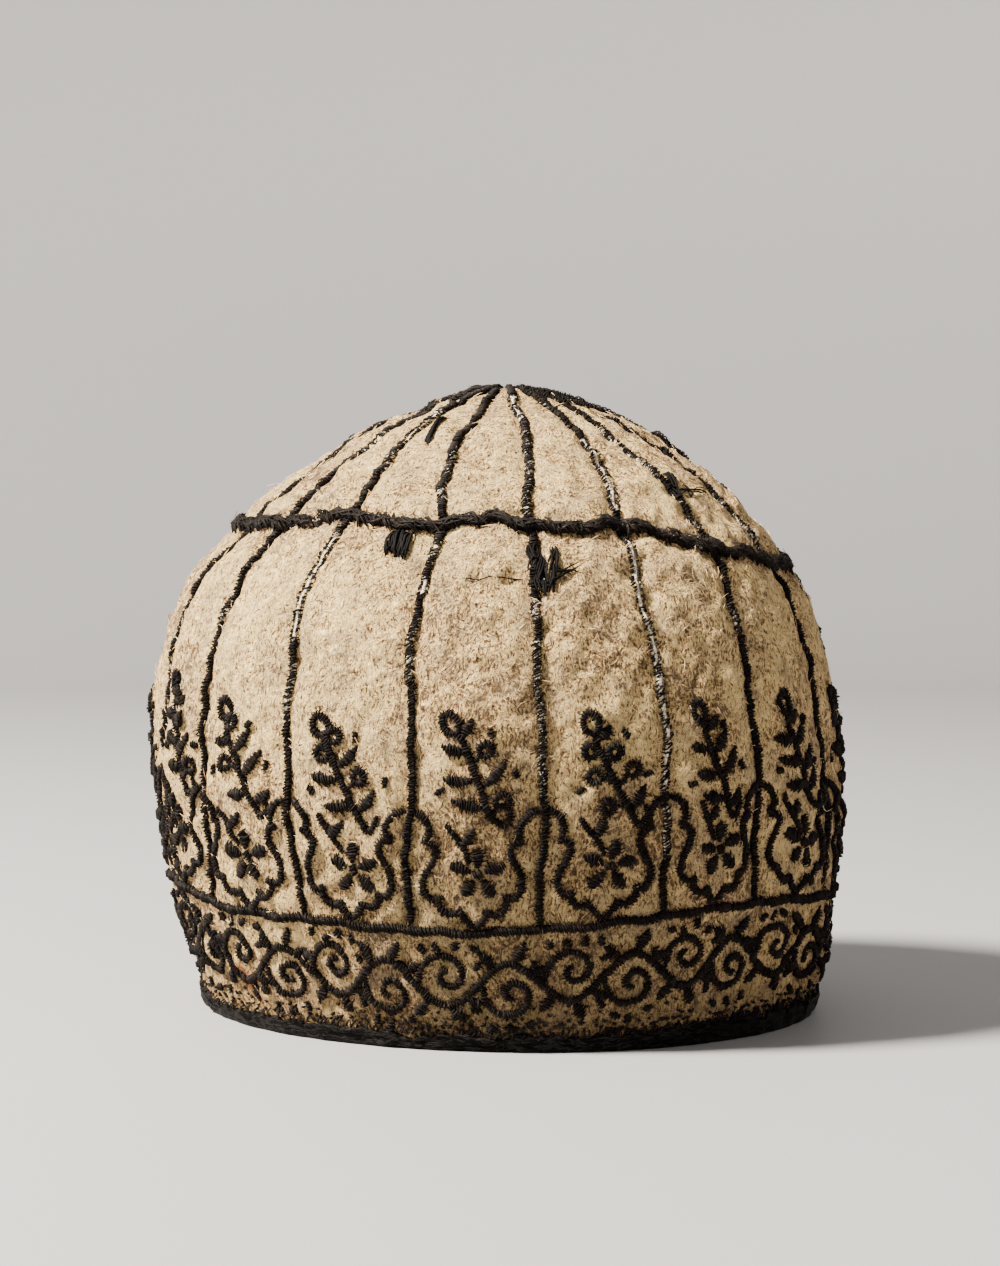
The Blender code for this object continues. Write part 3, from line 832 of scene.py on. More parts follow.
def flowerStrokes(dice):
    # separate petals round a small middle, and a stem up to one side with one leaf
    x, y = np.array(flower["middle"]) + dice.normal(0, 0.4, 2)
    first = 164 + dice.uniform(-8, 8)
    strokes = [(knot(x, y, dice.uniform(0, 3))[0], (1.5, 1.5))]
    for i in range(flower["petals"]):
        way = first + i * 360 / flower["petals"] + dice.normal(0, 3)
        c, s = heading(way)
        length = flower["petal"] * dice.uniform(0.9, 1.1)
        line = leaf(x + flower["inner"] * c, y + flower["inner"] * s, way, length, dice.uniform(4, 16))[0]
        strokes.append((line, flower["widths"]))
    stem = softLine(np.array(flower["stem"]) + dice.normal(0, 0.4, (4, 2)))
    share, turn, length = flower["leaf"]
    sx, sy, way = onLine(stem, share)
    return strokes + [(stem, (0.75, 0.85, 0.9)), leaf(sx, sy, way + turn, length)]


vine = {
    "middle": -15.4, "swing": 6.2,     # millimetres below the band line, and to either side
    "scroll": {"wide": 7.8, "close": 1.5, "turns": 1.30, "inward": 2.5},
    "leaves": (                        # place along the gore, side, direction, length
        (0.62, 1, 128, 6.0), (0.79, 1, 62, 6.4), (0.91, 1, 20, 5.6),
        (0.12, -1, 232, 5.6), (0.29, -1, 300, 5.4), (0.42, -1, 340, 5.2),
    ),
    "dots": ((-14.2, -3.9), (-9.8, -4.3), (-5.2, -3.8), (-1.0, -4.8), (0.8, -9.6), (14.6, -10.0),
             (2.6, -27.4), (8.0, -28.2), (13.6, -26.6), (-0.6, -23.0)),
    "dotsWide": 33.6,                  # the gore width that the dots are placed for
}


def vineStrokes(k, dice):
    # one gore of the vine: a sine wave from side to side of the gore, a scroll in each of its two
    # hollows, leaves on its outer side and dots in the corners
    wide = 1000 * float(pitchAt(0.02))
    x = np.linspace(-wide / 2 - 1.0, wide / 2 + 1.0, 64)
    line = np.stack([x, vine["middle"] + vine["swing"] * np.sin(2 * math.pi * x / wide)], -1)
    strokes = [(line, plain)]
    shape = vine["scroll"]
    for hand in (1, -1):
        sx = hand * wide / 4 + 0.4 + dice.normal(0, 0.25)
        sy = vine["middle"] - hand * shape["inward"] + dice.normal(0, 0.25)
        size = shape["wide"] * dice.uniform(0.95, 1.04)
        turns = shape["turns"] * dice.uniform(0.95, 1.08)
        strokes.append(scroll(sx, sy, 180 - hand * 14, turns, size, shape["close"], hand))
    for share, hand, way, length in vine["leaves"]:
        sx, sy, _ = onLine(line, share)
        way, length = way + dice.normal(0, 6), length * dice.uniform(0.85, 1.12)
        strokes.append(leaf(sx, sy + hand * 0.8, way, length, hand * 12))
    for dot in vine["dots"]:
        dx, dy = np.array(dot) + dice.normal(0, 0.5, 2)
        strokes.append(knot(dx * wide / vine["dotsWide"], dy, dice.uniform(0, 3)))
    return strokes


def makeOrnament(wool):
    # every gore gets its own sprig, flower and stretch of vine
    style = cordStyles["ornament"]
    families = {"sprig_work": [], "flower_work": [], "vine_work": []}
    for k in range(wall["gores"]):
        dice = np.random.default_rng(400 + k)
        drawn = (sprigStrokes(k, dice), flowerStrokes(dice), vineStrokes(k, dice))
        for first, (name, strokes) in enumerate(zip(families, drawn)):
            for i, (line, widths) in enumerate(strokes):
                gore, rise = goreLine(k, line)
                seed = 1000 + 200 * k + 60 * first + i
                families[name] += sewCord(gore, rise, style, seed, widths=widths)
    for name, parts in families.items():
        putMesh(name, joinParts(parts), wool)


# Felt

feltSkin = {"columns": 24, "rows": 138, "insideRows": 24}

stainsAndShade = {
    "rust": (                 # angle, rise, size and strength
        (-56.5, 0.0172, 0.0026, 1.0), (-55.0, 0.0146, 0.0034, 1.0), (-52.6, 0.0116, 0.0032, 1.0),
    ),
    "smudges": (              # the same
        (-15.2, 0.1393, 0.0042, 0.8), (-9.0, 0.1312, 0.0040, 0.6), (-4.5, 0.1183, 0.0046, 0.55),
        (5.0, 0.1164, 0.0050, 0.35), (-18.0, 0.1450, 0.0035, 0.7), (14.0, 0.2000, 0.0050, 0.4),
        (20.0, 0.1840, 0.0060, 0.3), (36.0, 0.1300, 0.0060, 0.3), (120.0, 0.1200, 0.0060, 0.5),
        (190.0, 0.0900, 0.0070, 0.5), (250.0, 0.1500, 0.0060, 0.5),
    ),
    "toneShift": (                # angle, rise, spread in degrees and metres, and how much paler or darker
        (-48.0, 0.1000, 22.0, 0.045, 0.22), (-25.0, 0.1150, 12.0, 0.035, 0.12),
        (0.0, 0.1900, 75.0, 0.030, 0.06), (-3.0, 0.1050, 10.0, 0.040, -0.16),
        (17.0, 0.1050, 11.0, 0.040, -0.10), (36.0, 0.1000, 11.0, 0.040, -0.06),
        (180.0, 0.1900, 90.0, 0.035, 0.08), (150.0, 0.1000, 30.0, 0.040, 0.10),
        (235.0, 0.1050, 25.0, 0.040, 0.12),
    ),
    "hem": (0.002, 0.022),    # the grime is thickest below the first height and gone above the second
    "hemGrime": 0.75, "cordGrime": 0.30, "cordGrimeHalf": 0.0022,
    "soot": (0.0050, 0.0125), # dark soil just above the strip, and how much of it at each angle
    "sootAngles": (-180, -80, -40, -18, 30, 50, 62, 75, 180),
    "sootShares": (0.7, 0.35, 0.45, 0.9, 0.9, 1.3, 1.3, 0.7, 0.7),
    "shadeAngles": (-180, -90, -60, -48, -30, -12, 8, 22, 37, 54, 75, 180),    # painted shade low down
    "shadeShares": (0.50, 0.40, 0.20, 0.26, 0.66, 1.00, 1.06, 1.00, 0.74, 0.46, 0.45, 0.50),
    "shadeHeights": (0.000, 0.010, 0.022, 0.034, 0.040, 0.060, 0.085, 0.120, 0.150),
    "shadeTall": (0.74, 0.72, 0.64, 0.62, 0.48, 0.44, 0.22, 0.06, 0.00),
}


def shadeAt(angle, points):
    # how much painted shade the felt gets: a share for the angle times a share for the height
    height = points[:, 2] + 0.003 * softNoise(points, 0.018, 53)
    around = np.interp(angle, stainsAndShade["shadeAngles"], stainsAndShade["shadeShares"])
    return np.clip(around * np.interp(height, stainsAndShade["shadeHeights"], stainsAndShade["shadeTall"]), 0, 1)


def spots(angle, rise, rows):
    # round spots on the wall: each row's strength, falling off as a bell with the distance from it
    total = 0 * rise
    for at, up, size, strength in rows:
        gap = np.hypot(turnFrom(angle, at) * wall["degree"], rise - up) / size
        total = total + strength * np.exp(-gap ** 2)
    return total


def feltMarks(gore, rise, points, inside):
    # what wear has left on the felt: grime towards the hem and beside the cords, soot above the
    # strip, smudges and rust in spots; besides these, a darker line along the crease, stretches that
    # are paler or darker, and painted shade on the low part
    angle = turnFrom(place(gore, rise)[0], 0)
    low, high = stainsAndShade["hem"]
    height = points[:, 2] + 0.004 * softNoise(points, 0.02, 51)
    grime = stainsAndShade["hemGrime"] * np.clip((high - height) / (high - low), 0, 1) ** 1.3
    beside = besideCord(gore, rise) / stainsAndShade["cordGrimeHalf"]
    grime = grime + stainsAndShade["cordGrime"] * np.exp(-beside ** 2)
    low, high = stainsAndShade["soot"]
    height = points[:, 2] + 0.0012 * softNoise(points, 0.008, 52)
    soot = np.clip((high - height) / (high - low), 0, 1) * (1 - inside)
    soot = soot * np.interp(angle, stainsAndShade["sootAngles"], stainsAndShade["sootShares"])
    # stretches made paler or darker
    toneShift = 0 * rise
    for at, up, wide, tall, strength in stainsAndShade["toneShift"]:
        toneShift = toneShift + strength * np.exp(-(turnFrom(angle, at) / wide) ** 2 - ((rise - up) / tall) ** 2)
    # a darker line along the crease, added to the smudge mark
    crease = relief["crease"]
    within = (gore > crease["from"]) & (gore < crease["to"])
    gap = (rise - crease["rise"]) / crease["darkLineHalf"]
    smudge = spots(angle, rise, stainsAndShade["smudges"]) + crease["darkLine"] * within * np.exp(-gap ** 2)
    rust = spots(angle, rise, stainsAndShade["rust"])
    return {"grime": np.clip(grime, 0, 1), "soot": soot, "smudge": np.clip(smudge, 0, 1),
            "rust": np.clip(rust, 0, 1), "toneShift": toneShift, "shade": shadeAt(angle, points) * (1 - inside)}


def makeFelt(material):
    # the outside as a grid over the wall, the inside as the same grid moved in by the thickness,
    # joined at the lower edge, with a fan of faces at the crown on both sides
    columns = wall["gores"] * feltSkin["columns"]
    gores = np.arange(columns) / feltSkin["columns"]
    outRise = edgeRise + (topRise - edgeRise) * np.linspace(0, 1, feltSkin["rows"] + 1)[:-1]
    inRise = edgeRise + (topRise - edgeRise) * np.linspace(0, 1, feltSkin["insideRows"] + 1)[-2::-1]
    parts = []
    for rises, lift, inside in ((outRise, 0.0, 0), (inRise, -wall["thickness"], 1)):
        gore, rise = (a.ravel() for a in np.meshgrid(gores, rises))
        points = onFelt(gore, rise, lift)[0]
        low = rise < edgeRise + 1e-6
        if inside:
            points[low] = plainWall(place(gore[low], rise[low])[0], edgeRise, lift)
        parts.append((points, feltMarks(gore, rise, points, inside)))
    (outPoints, outMarks), (inPoints, inMarks) = parts
    swell = np.median(outPoints[-columns:, 2]) - plainWall(0, outRise[-1])[2]
    top = plainWall(0.0, topRise) + (0, 0, swell)
    points = np.vstack([outPoints, inPoints, [top, top - (0, 0, wall["thickness"])]])
    outTip, inTip = len(points) - 2, len(points) - 1
    at = np.arange(outTip).reshape(-1, columns)
    outer, inner = at[:len(outRise)], at[len(outRise):]
    faces = [ringQuads(outer), ringQuads(inner), ringQuads(np.stack([inner[-1], outer[0]])),
             fanFaces(outer[-1], outTip), fanFaces(inner[0], inTip)[:, ::-1]]
    marks = {key: np.concatenate([outMarks[key], inMarks[key], (0, 0)]) for key in outMarks}
    part = {"points": points, "faces": faces, "marks": marks}
    putMesh("felt_cap_skin", part, material, ["felt_cap"])


feltFuzz = {
    "count": 6000, "pieces": 2,
    "length": (0.0014, 0.0042), "radius": 0.000095,
    "lift": 0.00030, "upright": 0.75,     # most fibres lie up and down the wall, within this spread
    "turn": 0.55, "arch": 0.00014,
    "longHairs": 26, "longLength": (0.005, 0.009), "longLift": (0.0008, 0.0025), "longRadius": 0.00006,
}


def scatter(count, dice):
    # random places with the same number on each square millimetre: more are drawn than needed, and
    # a place is kept with a chance that follows the wall's width there
    rise = dice.uniform(0.008, topRise - 0.003, count * 3)
    keep = dice.uniform(0, 1, count * 3) < np.interp(rise, curve["rise"], curve["width"]) / 0.104
    rise = rise[keep][:count]
    return dice.uniform(0, wall["gores"], len(rise)), rise


def fibreSpines(gore, rise, length, lift, dice, points=3):
    # a fibre walks over the felt in short steps that turn a little each time, and its end stands off
    base, east, north, out = onFelt(gore, rise, 0.00002)
    count = len(gore)
    way = math.pi / 2 + dice.normal(0, feltFuzz["upright"], (count, 1))
    way = way + np.cumsum(dice.normal(0, feltFuzz["turn"], (count, points - 1)), axis=1)
    step = np.cos(way)[..., None] * east[:, None] + np.sin(way)[..., None] * north[:, None]
    step = step * (length / (points - 1))[:, None, None]
    spine = np.concatenate([base[:, None], base[:, None] + np.cumsum(step, axis=1)], axis=1)
    rising = np.linspace(0, 1, points)[None, :] ** 1.5 * lift[:, None]
    arch = feltFuzz["arch"] * np.sin(np.linspace(0, math.pi, points))
    return spine + out[:, None] * (rising + arch)[..., None], out


def makeFuzz(material):
    # thousands of short curved fibres that lie on the felt, and a few long ones that stand off it
    for n in range(feltFuzz["pieces"]):
        dice = np.random.default_rng(500 + n)
        gore, rise = scatter(feltFuzz["count"], dice)
        count = len(gore)
        length = dice.uniform(*feltFuzz["length"], count)
        lift = feltFuzz["lift"] * dice.uniform(0, 1, count) ** 3 * 3
        spine, out = fibreSpines(gore, rise, length, lift, dice)
        radius = feltFuzz["radius"] * dice.uniform(0.6, 1.3, (count, 1)) * np.array((0.7, 1, 0.4))
        tone = dice.uniform(0, 1, count)
        grime = np.clip(1.2 - (rise / 0.03), 0, 1)
        # painted shade, the same share as on the felt
        shade = shadeAt(turnFrom(place(gore, rise)[0], 0), spine[:, 0])
        parts = [strands(spine, radius, out[:, None], tone=tone, grime=grime, shade=shade)]
        if n == 0:
            gore, rise = scatter(feltFuzz["longHairs"], dice)
            length = dice.uniform(*feltFuzz["longLength"], len(gore))
            lift = dice.uniform(*feltFuzz["longLift"], len(gore))
            spine, out = fibreSpines(gore, rise, length, lift, dice, points=7)
            radius = np.full(spine.shape[:2], feltFuzz["longRadius"])
            parts.append(strands(spine, radius, out[:, None], tone=0.2, grime=0.0, shade=0.0))
        putMesh(f"felt_fuzz_{n + 1}", joinParts(parts), material)


# Strip folded over the rim

strip = {
    "columns": 600,
    "gap": 0.0003, "thickness": 0.0010,
    "ripple": 0.00030, "wrinkle": 0.00026, "edgeRipple": 0.00085,
    "torn": (                    # angle, spread in degrees and how ragged the edge is there
        (-76.0, 10.0, 0.0012), (52.0, 18.0, 0.0023), (12.0, 14.0, 0.0007), (165.0, 18.0, 0.0012),
    ),
    "corner": 0.0009,
    "lowest": 0.0024, "highest": 0.0098,    # of its upper edge
}


def stripSection(edge):
    # the strip's section as a closed loop, for each column: outside face from its upper edge down,
    # a round corner, flat underside, round corner, inside face up, then back along the felt. Each
    # point has its distance out, its height and whether it is free to ripple
    near, far = strip["gap"], strip["gap"] + strip["thickness"]
    inner = -wall["thickness"] - near
    back = inner - strip["thickness"]
    r = strip["corner"]
    bend = np.radians(np.linspace(0, 90, 4))
    rows = [(far - 0.00035, edge, 1.0)]
    rows += [(far, edge * share, 1.0) for share in (0.95, 0.86, 0.77, 0.68, 0.59, 0.50, 0.41, 0.32)]
    rows += [(far - r + r * c, r - r * s + 0 * edge, 0.5) for c, s in zip(np.cos(bend), np.sin(bend))]
    rows += [(x, 0 * edge, 0.0) for x in np.linspace(far - r, back + r, 5)[1:-1]]
    rows += [(back + r - r * s, r - r * c + 0 * edge, 0.5) for c, s in zip(np.cos(bend), np.sin(bend))]
    rows += [(back, edge * share, 1.0) for share in (0.5, 0.8, 1.0)]
    rows += [(inner, edge, 0.0), (inner, edge * 0.5, 0.0), (inner, strip["thickness"] + 0 * edge, 0.0)]
    rows += [(near, strip["thickness"] + 0 * edge, 0.0), (near, edge * 0.5, 0.0), (near, edge, 0.0)]
    return rows


def makeStrip(material):
    # the section carried round the rim, with ripples in its faces and a worn, uneven upper edge
    gore = np.arange(strip["columns"]) / strip["columns"] * wall["gores"]
    angle = placeAngle(gore, 0 * gore)
    line = plainWall(angle, 0.004)
    edge = lineHeight(lines["strip"], angle)
    waves = 0.6 * softNoise(line, 0.012, 61) + 0.55 * softNoise(line, 0.0035, 62)
    edge = edge + strip["edgeRipple"] * waves
    for at, wide, rag in strip["torn"]:
        near = np.exp(-(turnFrom(angle, at) / wide) ** 2)
        edge = edge + rag * near * (softNoise(line, 0.0030, 66) + 0.5 * softNoise(line, 0.0016, 67))
    edge = np.clip(edge, strip["lowest"], strip["highest"])
    rings, share = [], []
    for out, height, free in stripSection(edge):
        rise = np.interp(height, curve["height"], curve["rise"])
        points = plainWall(angle, rise)
        ripple = softNoise(points, 0.006, 63) + 0.8 * softNoise(points, 0.016, 64)
        wrinkle = softNoise(points * (0.16, 0.16, 1.0), 0.0019, 65)
        moved = free * (strip["ripple"] * ripple + strip["wrinkle"] * wrinkle)
        rings.append(plainWall(angle, rise, out + moved))
        share.append(height / edge)
    points = np.vstack(rings)
    at = np.arange(len(points)).reshape(len(rings), -1)
    faces = [ringQuads(np.vstack([at, at[:1]]))[:, ::-1]]
    part = {"points": points, "faces": faces, "marks": {"up": np.concatenate(share)}}
    putMesh("rim_strip", part, material, ["rim_binding"])


# Stitches: hem rows, edge stitches and repairs

stitches = {
    "hem": (                 # height, spacing round the rim, length, share left out
        (0.0076, 0.0019, 0.0013, 0.18), (0.0100, 0.0023, 0.0012, 0.25), (0.0124, 0.0044, 0.0011, 0.58),
    ),
    "edge": {"spacing": 0.0021, "length": 0.0030, "yarn": 0.00034, "above": 0.0008, "lift": 0.0011},
    "yarn": 0.00050,
}


def shortStitches(gore, rise, way, length, yarn, dice, high=0.00045):
    # each stitch is a low arch over the felt: four points, its ends in the felt
    points, east, north, out = onFelt(gore, rise)
    run = east * np.cos(way)[:, None] + north * np.sin(way)[:, None]
    share = np.array((-0.5, -0.22, 0.22, 0.5))
    lift = np.array((-0.0002, high, high, -0.0002))
    along = run[:, None] * (share * length[:, None])[..., None]
    spine = points[:, None] + along + out[:, None] * lift[None, :, None]
    radius = yarn * np.array((0.6, 1, 1, 0.6)) * dice.uniform(0.8, 1.25, (len(gore), 1))
    return strands(spine, radius, out[:, None], tone=dice.uniform(0, 0.7, len(gore)), bare=0.0)


def makeHemStitches(wool):
    # three uneven rows of small stitches above the strip, and slanting ones that hold its edge
    dice = np.random.default_rng(600)
    around = wall["gores"] * float(pitchAt(0.008))
    parts = []
    for up, spacing, size, missing in stitches["hem"]:
        count = int(around / spacing)
        gore = (np.arange(count) + dice.normal(0, 0.22, count)) / count * wall["gores"]
        rise = up + 0.0012 * softNoise(plainWall(placeAngle(gore, 0 * gore), up), 0.03, 65)
        rise = rise + dice.normal(0, 0.0004, count)
        keep = dice.uniform(0, 1, count) > missing
        way = dice.normal(0, 0.5, count)
        length = size * dice.uniform(0.5, 1.3, count)
        parts.append(shortStitches(gore[keep], rise[keep], way[keep], length[keep], stitches["yarn"], dice))
    edge = stitches["edge"]
    count = int(around / edge["spacing"])
    gore = (np.arange(count) + dice.normal(0, 0.3, count)) / count * wall["gores"]
    angle = placeAngle(gore, 0 * gore)
    rise = lineRise(lines["strip"], angle) + edge["above"]
    way = dice.normal(1.2, 0.35, count)
    length = edge["length"] * dice.uniform(0.5, 1.3, count)
    parts.append(shortStitches(gore, rise, way, length, edge["yarn"], dice, high=edge["lift"]))
    putMesh("hem_stitches", joinParts(parts), wool)


repairs = {
    # where each bundle of thread starts and ends (angle and rise), how wide it is, its threads,
    # its height off the felt, the yarn and how unruly it is
    "bundles": (
        (-22.2, 0.1520, -21.6, 0.1432, 0.0024, 8, 0.0015, 0.00038, 0.45),
        (-20.3, 0.1516, -19.9, 0.1424, 0.0026, 8, 0.0020, 0.00038, 0.50),
        (-18.4, 0.1508, -18.6, 0.1422, 0.0022, 7, 0.0016, 0.00036, 0.45),
        (6.6, 0.1478, 7.8, 0.1392, 0.0030, 7, 0.0018, 0.00036, 0.8),
        (8.2, 0.1440, 7.4, 0.1352, 0.0034, 7, 0.0019, 0.00036, 0.9),
        (8.0, 0.1386, 9.0, 0.1300, 0.0026, 6, 0.0014, 0.00034, 0.9),
        (10.9, 0.1450, 10.2, 0.1310, 0.0022, 7, 0.0014, 0.00034, 0.7),
        (8.8, 0.1322, 14.8, 0.1372, 0.0008, 3, 0.0014, 0.00022, 1.0),
        (10.2, 0.1366, 14.0, 0.1362, 0.0006, 3, 0.0012, 0.00020, 1.0),
        (-28.2, 0.1893, -28.9, 0.2056, 0.0012, 5, 0.0011, 0.00034, 0.4),
        (48.4, 0.1745, 46.8, 0.1665, 0.0024, 6, 0.0016, 0.00034, 0.8),
        (47.0, 0.1700, 46.0, 0.1618, 0.0024, 6, 0.0016, 0.00034, 0.8),
        (47.6, 0.1668, 58.8, 0.1660, 0.0008, 3, 0.0012, 0.00024, 0.8),
        (50.5, 0.1640, 52.0, 0.1690, 0.0008, 2, 0.0010, 0.00022, 0.8),
        (16.0, 0.2163, 47.5, 0.2150, 0.0003, 1, 0.0010, 0.00026, 0.3),
        (-6.5, 0.1346, 5.6, 0.1354, 0.0002, 1, 0.0006, 0.00021, 0.3),
        (152.0, 0.1290, 153.0, 0.1400, 0.0030, 8, 0.0014, 0.00034, 0.8),
        (231.0, 0.1800, 228.0, 0.1920, 0.0014, 5, 0.0011, 0.00032, 0.6),
    ),
    "slip": 0.0011,      # how far an unruly thread's ends and middle stray
}


def makeRepairs(thread):
    # a bundle is threads side by side from start to end, each an arch that strays a little
    dice = np.random.default_rng(700)
    parts = []
    for a0, r0, a1, r1, wide, count, high, yarn, unruly in repairs["bundles"]:    # angles and rises
        g0, g1 = goreAt(np.array((a0, a1)), np.array((r0, r1)))
        share = np.linspace(0, 1, 7)
        points, east, north, out = onFelt(g0 + (g1 - g0) * share, r0 + (r1 - r0) * share)
        run = unit(points[-1] - points[0])
        side = unit(np.cross(run, out.mean(0)))
        pinch = np.array((0.55, 0.85, 1.0, 1.0, 1.0, 0.85, 0.55))
        offset = np.linspace(-0.5, 0.5, count) if count > 1 else np.zeros(1)
        stray = repairs["slip"] * unruly
        lean = dice.normal(0, 0.55 * stray, (count, 1)) * np.linspace(-1, 1, 7)
        sway = dice.normal(0, 0.30 * stray, (count, 1))
        sway = sway * np.sin(np.linspace(0, 2 * math.pi, 7) + dice.uniform(0, 6, (count, 1)))
        offset = offset[:, None] * wide * pinch + lean + sway
        lift = high * np.array((-0.3, 0.65, 0.95, 1.0, 0.95, 0.65, -0.3))
        lift = lift * dice.uniform(0.6, 1.25, (count, 1))
        lift = lift * (1.0 - 0.25 * np.abs(np.linspace(-1, 1, count)))[:, None]
        free = (dice.uniform(0, 1, (count, 1)) < 0.25 * unruly) * np.array((0, 0, 0, 0, 0, 0.5, 1.6)) * high
        slide = dice.normal(0, 0.7 * stray, (count, 1)) * np.linspace(1, 0.2, 7)
        slide = slide + dice.normal(0, stray, (count, 1)) * share
        spine = points + side * offset[..., None] + out * (lift + free)[..., None] + run * slide[..., None]
        radius = yarn * dice.uniform(0.75, 1.25, (count, 1)) * np.array((0.6, 1, 1, 1, 1, 1, 0.5))
        across = np.broadcast_to(out.mean(0), spine.shape)
        parts.append(strands(spine, radius, across, sides=5, tone=dice.uniform(0, 1, count), bare=0.0))
    putMesh("repair_threads", joinParts(parts), thread)


# Materials

def feed(tree, socket, value):
    # a socket is linked, any other value is set
    if isinstance(value, bpy.types.NodeSocket):
        tree.links.new(value, socket)
    else:
        socket.default_value = value


def addNode(tree, kind, inputs=None, **settings):
    # a shader node with its settings and its inputs, which are sockets or values
    node = tree.nodes.new(kind)
    for key, value in settings.items():
        setattr(node, key, value)
    for key, value in (inputs or {}).items():
        feed(tree, node.inputs[key], value)
    return node


def newGroup(name, inputs, outputs):
    # an empty node group with named float, colour or vector sockets, with its own ends
    group = bpy.data.node_groups.new(name, "ShaderNodeTree")
    for socket, kind, value in inputs:
        made = group.interface.new_socket(socket, in_out="INPUT", socket_type=f"NodeSocket{kind}")
        if value is not None:
            made.default_value = value
    for socket, kind in outputs:
        group.interface.new_socket(socket, in_out="OUTPUT", socket_type=f"NodeSocket{kind}")
    return group, group.nodes.new("NodeGroupInput").outputs, group.nodes.new("NodeGroupOutput").inputs


def useGroup(tree, group, inputs):
    # the outputs of a group placed in a material with its own values
    return addNode(tree, "ShaderNodeGroup", inputs, node_tree=group).outputs


def mathNode(tree, operation, *values, clamp=False):
    # one sum on numbers
    node = addNode(tree, "ShaderNodeMath", dict(enumerate(values)), operation=operation, use_clamp=clamp)
    return node.outputs[0]


def times(tree, first, second, clamp=False):
    # two numbers multiplied
    return mathNode(tree, "MULTIPLY", first, second, clamp=clamp)


def weighted(tree, *terms):
    # numbers times their weights, added up; one without a weight counts once
    total = None
    for term in terms:
        part = times(tree, *term) if isinstance(term, tuple) else term
        total = part if total is None else mathNode(tree, "ADD", total, part)
    return total


def vectorNode(tree, operation, inputs):
    # one sum on vectors
    return addNode(tree, "ShaderNodeVectorMath", inputs, operation=operation).outputs[0]


def mixColour(tree, share, first, second, blend="MIX"):
    # two colours, each a socket or three numbers, mixed or multiplied by a share
    first, second = [value if isinstance(value, bpy.types.NodeSocket) else (*value, 1.0)
                     for value in (first, second)]
    inputs = {"Factor": share, 6: first, 7: second}
    return addNode(tree, "ShaderNodeMix", inputs, data_type="RGBA", blend_type=blend).outputs[2]


def spread(tree, value, low, high):
    # a value stretched so that low becomes 0 and high 1
    inputs = {"Value": value, "From Min": low, "From Max": high}
    return addNode(tree, "ShaderNodeMapRange", inputs, clamp=True).outputs[0]


def noiseAt(tree, place, scale, detail, roughness=0.5):
    # a noise texture's outputs at a place in millimetres
    inputs = {"Vector": place, "Scale": scale, "Detail": detail, "Roughness": roughness}
    return addNode(tree, "ShaderNodeTexNoise", inputs).outputs


def mark(tree, name):
    # a mark that was put on the piece's points
    return addNode(tree, "ShaderNodeAttribute", attribute_name=name).outputs["Fac"]


def rampNode(tree, value, stops):
    # colours in steps along a value
    node = addNode(tree, "ShaderNodeValToRGB", {"Fac": value})
    elements = node.color_ramp.elements
    while len(elements) < len(stops):
        elements.new(0.5)
    for element, (at, colour) in zip(elements, stops):
        element.position = at
        element.color = (*colour, 1.0)
    return node.outputs["Color"]


def hairTangleGroup():
    # thin curly lines, as of hairs that cross: coordinates in millimetres are bent by a soft noise,
    # stretched, and the lines are where a fine noise passes its middle value
    group, inputs, outputs = newGroup(
        "hairTangle",
        (("Place", "Vector", None), ("Stretch", "Vector", None), ("Size", "Float", 1.0),
         ("Bend", "Float", 3.0), ("Thin", "Float", 9.0)),
        (("Lines", "Float"), ("Lumps", "Float")))
    soft = noiseAt(group, inputs["Place"], 0.22, 2.0)["Color"]
    centred = vectorNode(group, "SUBTRACT", {0: soft, 1: (0.5, 0.5, 0.5)})
    bent = vectorNode(group, "SCALE", {0: centred, "Scale": inputs["Bend"]})
    moved = vectorNode(group, "ADD", {0: inputs["Place"], 1: bent})
    pulled = vectorNode(group, "MULTIPLY", {0: moved, 1: inputs["Stretch"]})
    fine = noiseAt(group, pulled, inputs["Size"], 3.5, 0.62)["Fac"]
    away = mathNode(group, "ABSOLUTE", mathNode(group, "SUBTRACT", fine, 0.5))
    thin = mathNode(group, "SUBTRACT", 1.0, times(group, away, inputs["Thin"]), clamp=True)
    feed(group, outputs["Lines"], thin)
    feed(group, outputs["Lumps"], fine)
    return group


def yarnGrainGroup():
    # uneven wool: a fine noise for the hairs in the yarn and a wider one for patches of tone
    group, inputs, outputs = newGroup(
        "yarnGrain",
        (("Place", "Vector", None), ("Fineness", "Float", 5.0)),
        (("Grain", "Float"), ("Patch", "Float")))
    feed(group, outputs["Grain"], noiseAt(group, inputs["Place"], inputs["Fineness"], 3.0, 0.65)["Fac"])
    feed(group, outputs["Patch"], noiseAt(group, inputs["Place"], 0.16, 2.0)["Fac"])
    return group


def tangled(tree, tangle, place, stretch, size, bend, thin):
    # the hair tangle's outputs with its own values
    inputs = {"Place": place, "Stretch": stretch, "Size": size, "Bend": bend, "Thin": thin}
    return useGroup(tree, tangle, inputs)


def millimetres(tree):
    # the piece's own coordinates in millimetres
    place = addNode(tree, "ShaderNodeTexCoord").outputs["Object"]
    return vectorNode(tree, "SCALE", {0: place, "Scale": 1000.0})


def newMaterial(name, **values):
    # a Principled material with its constant values set on its own sockets
    material = bpy.data.materials.new(name)
    material.use_nodes = True
    tree = material.node_tree
    shader = tree.nodes["Principled BSDF"]
    for key, value in values.items():
        shader.inputs[key.replace("_", " ")].default_value = value
    return material, tree, shader


def addBump(tree, shader, height, distance):
    # fine relief from a height
    bump = addNode(tree, "ShaderNodeBump", {"Height": height, "Distance": distance, "Strength": 1.0})
    feed(tree, shader.inputs["Normal"], bump.outputs[0])


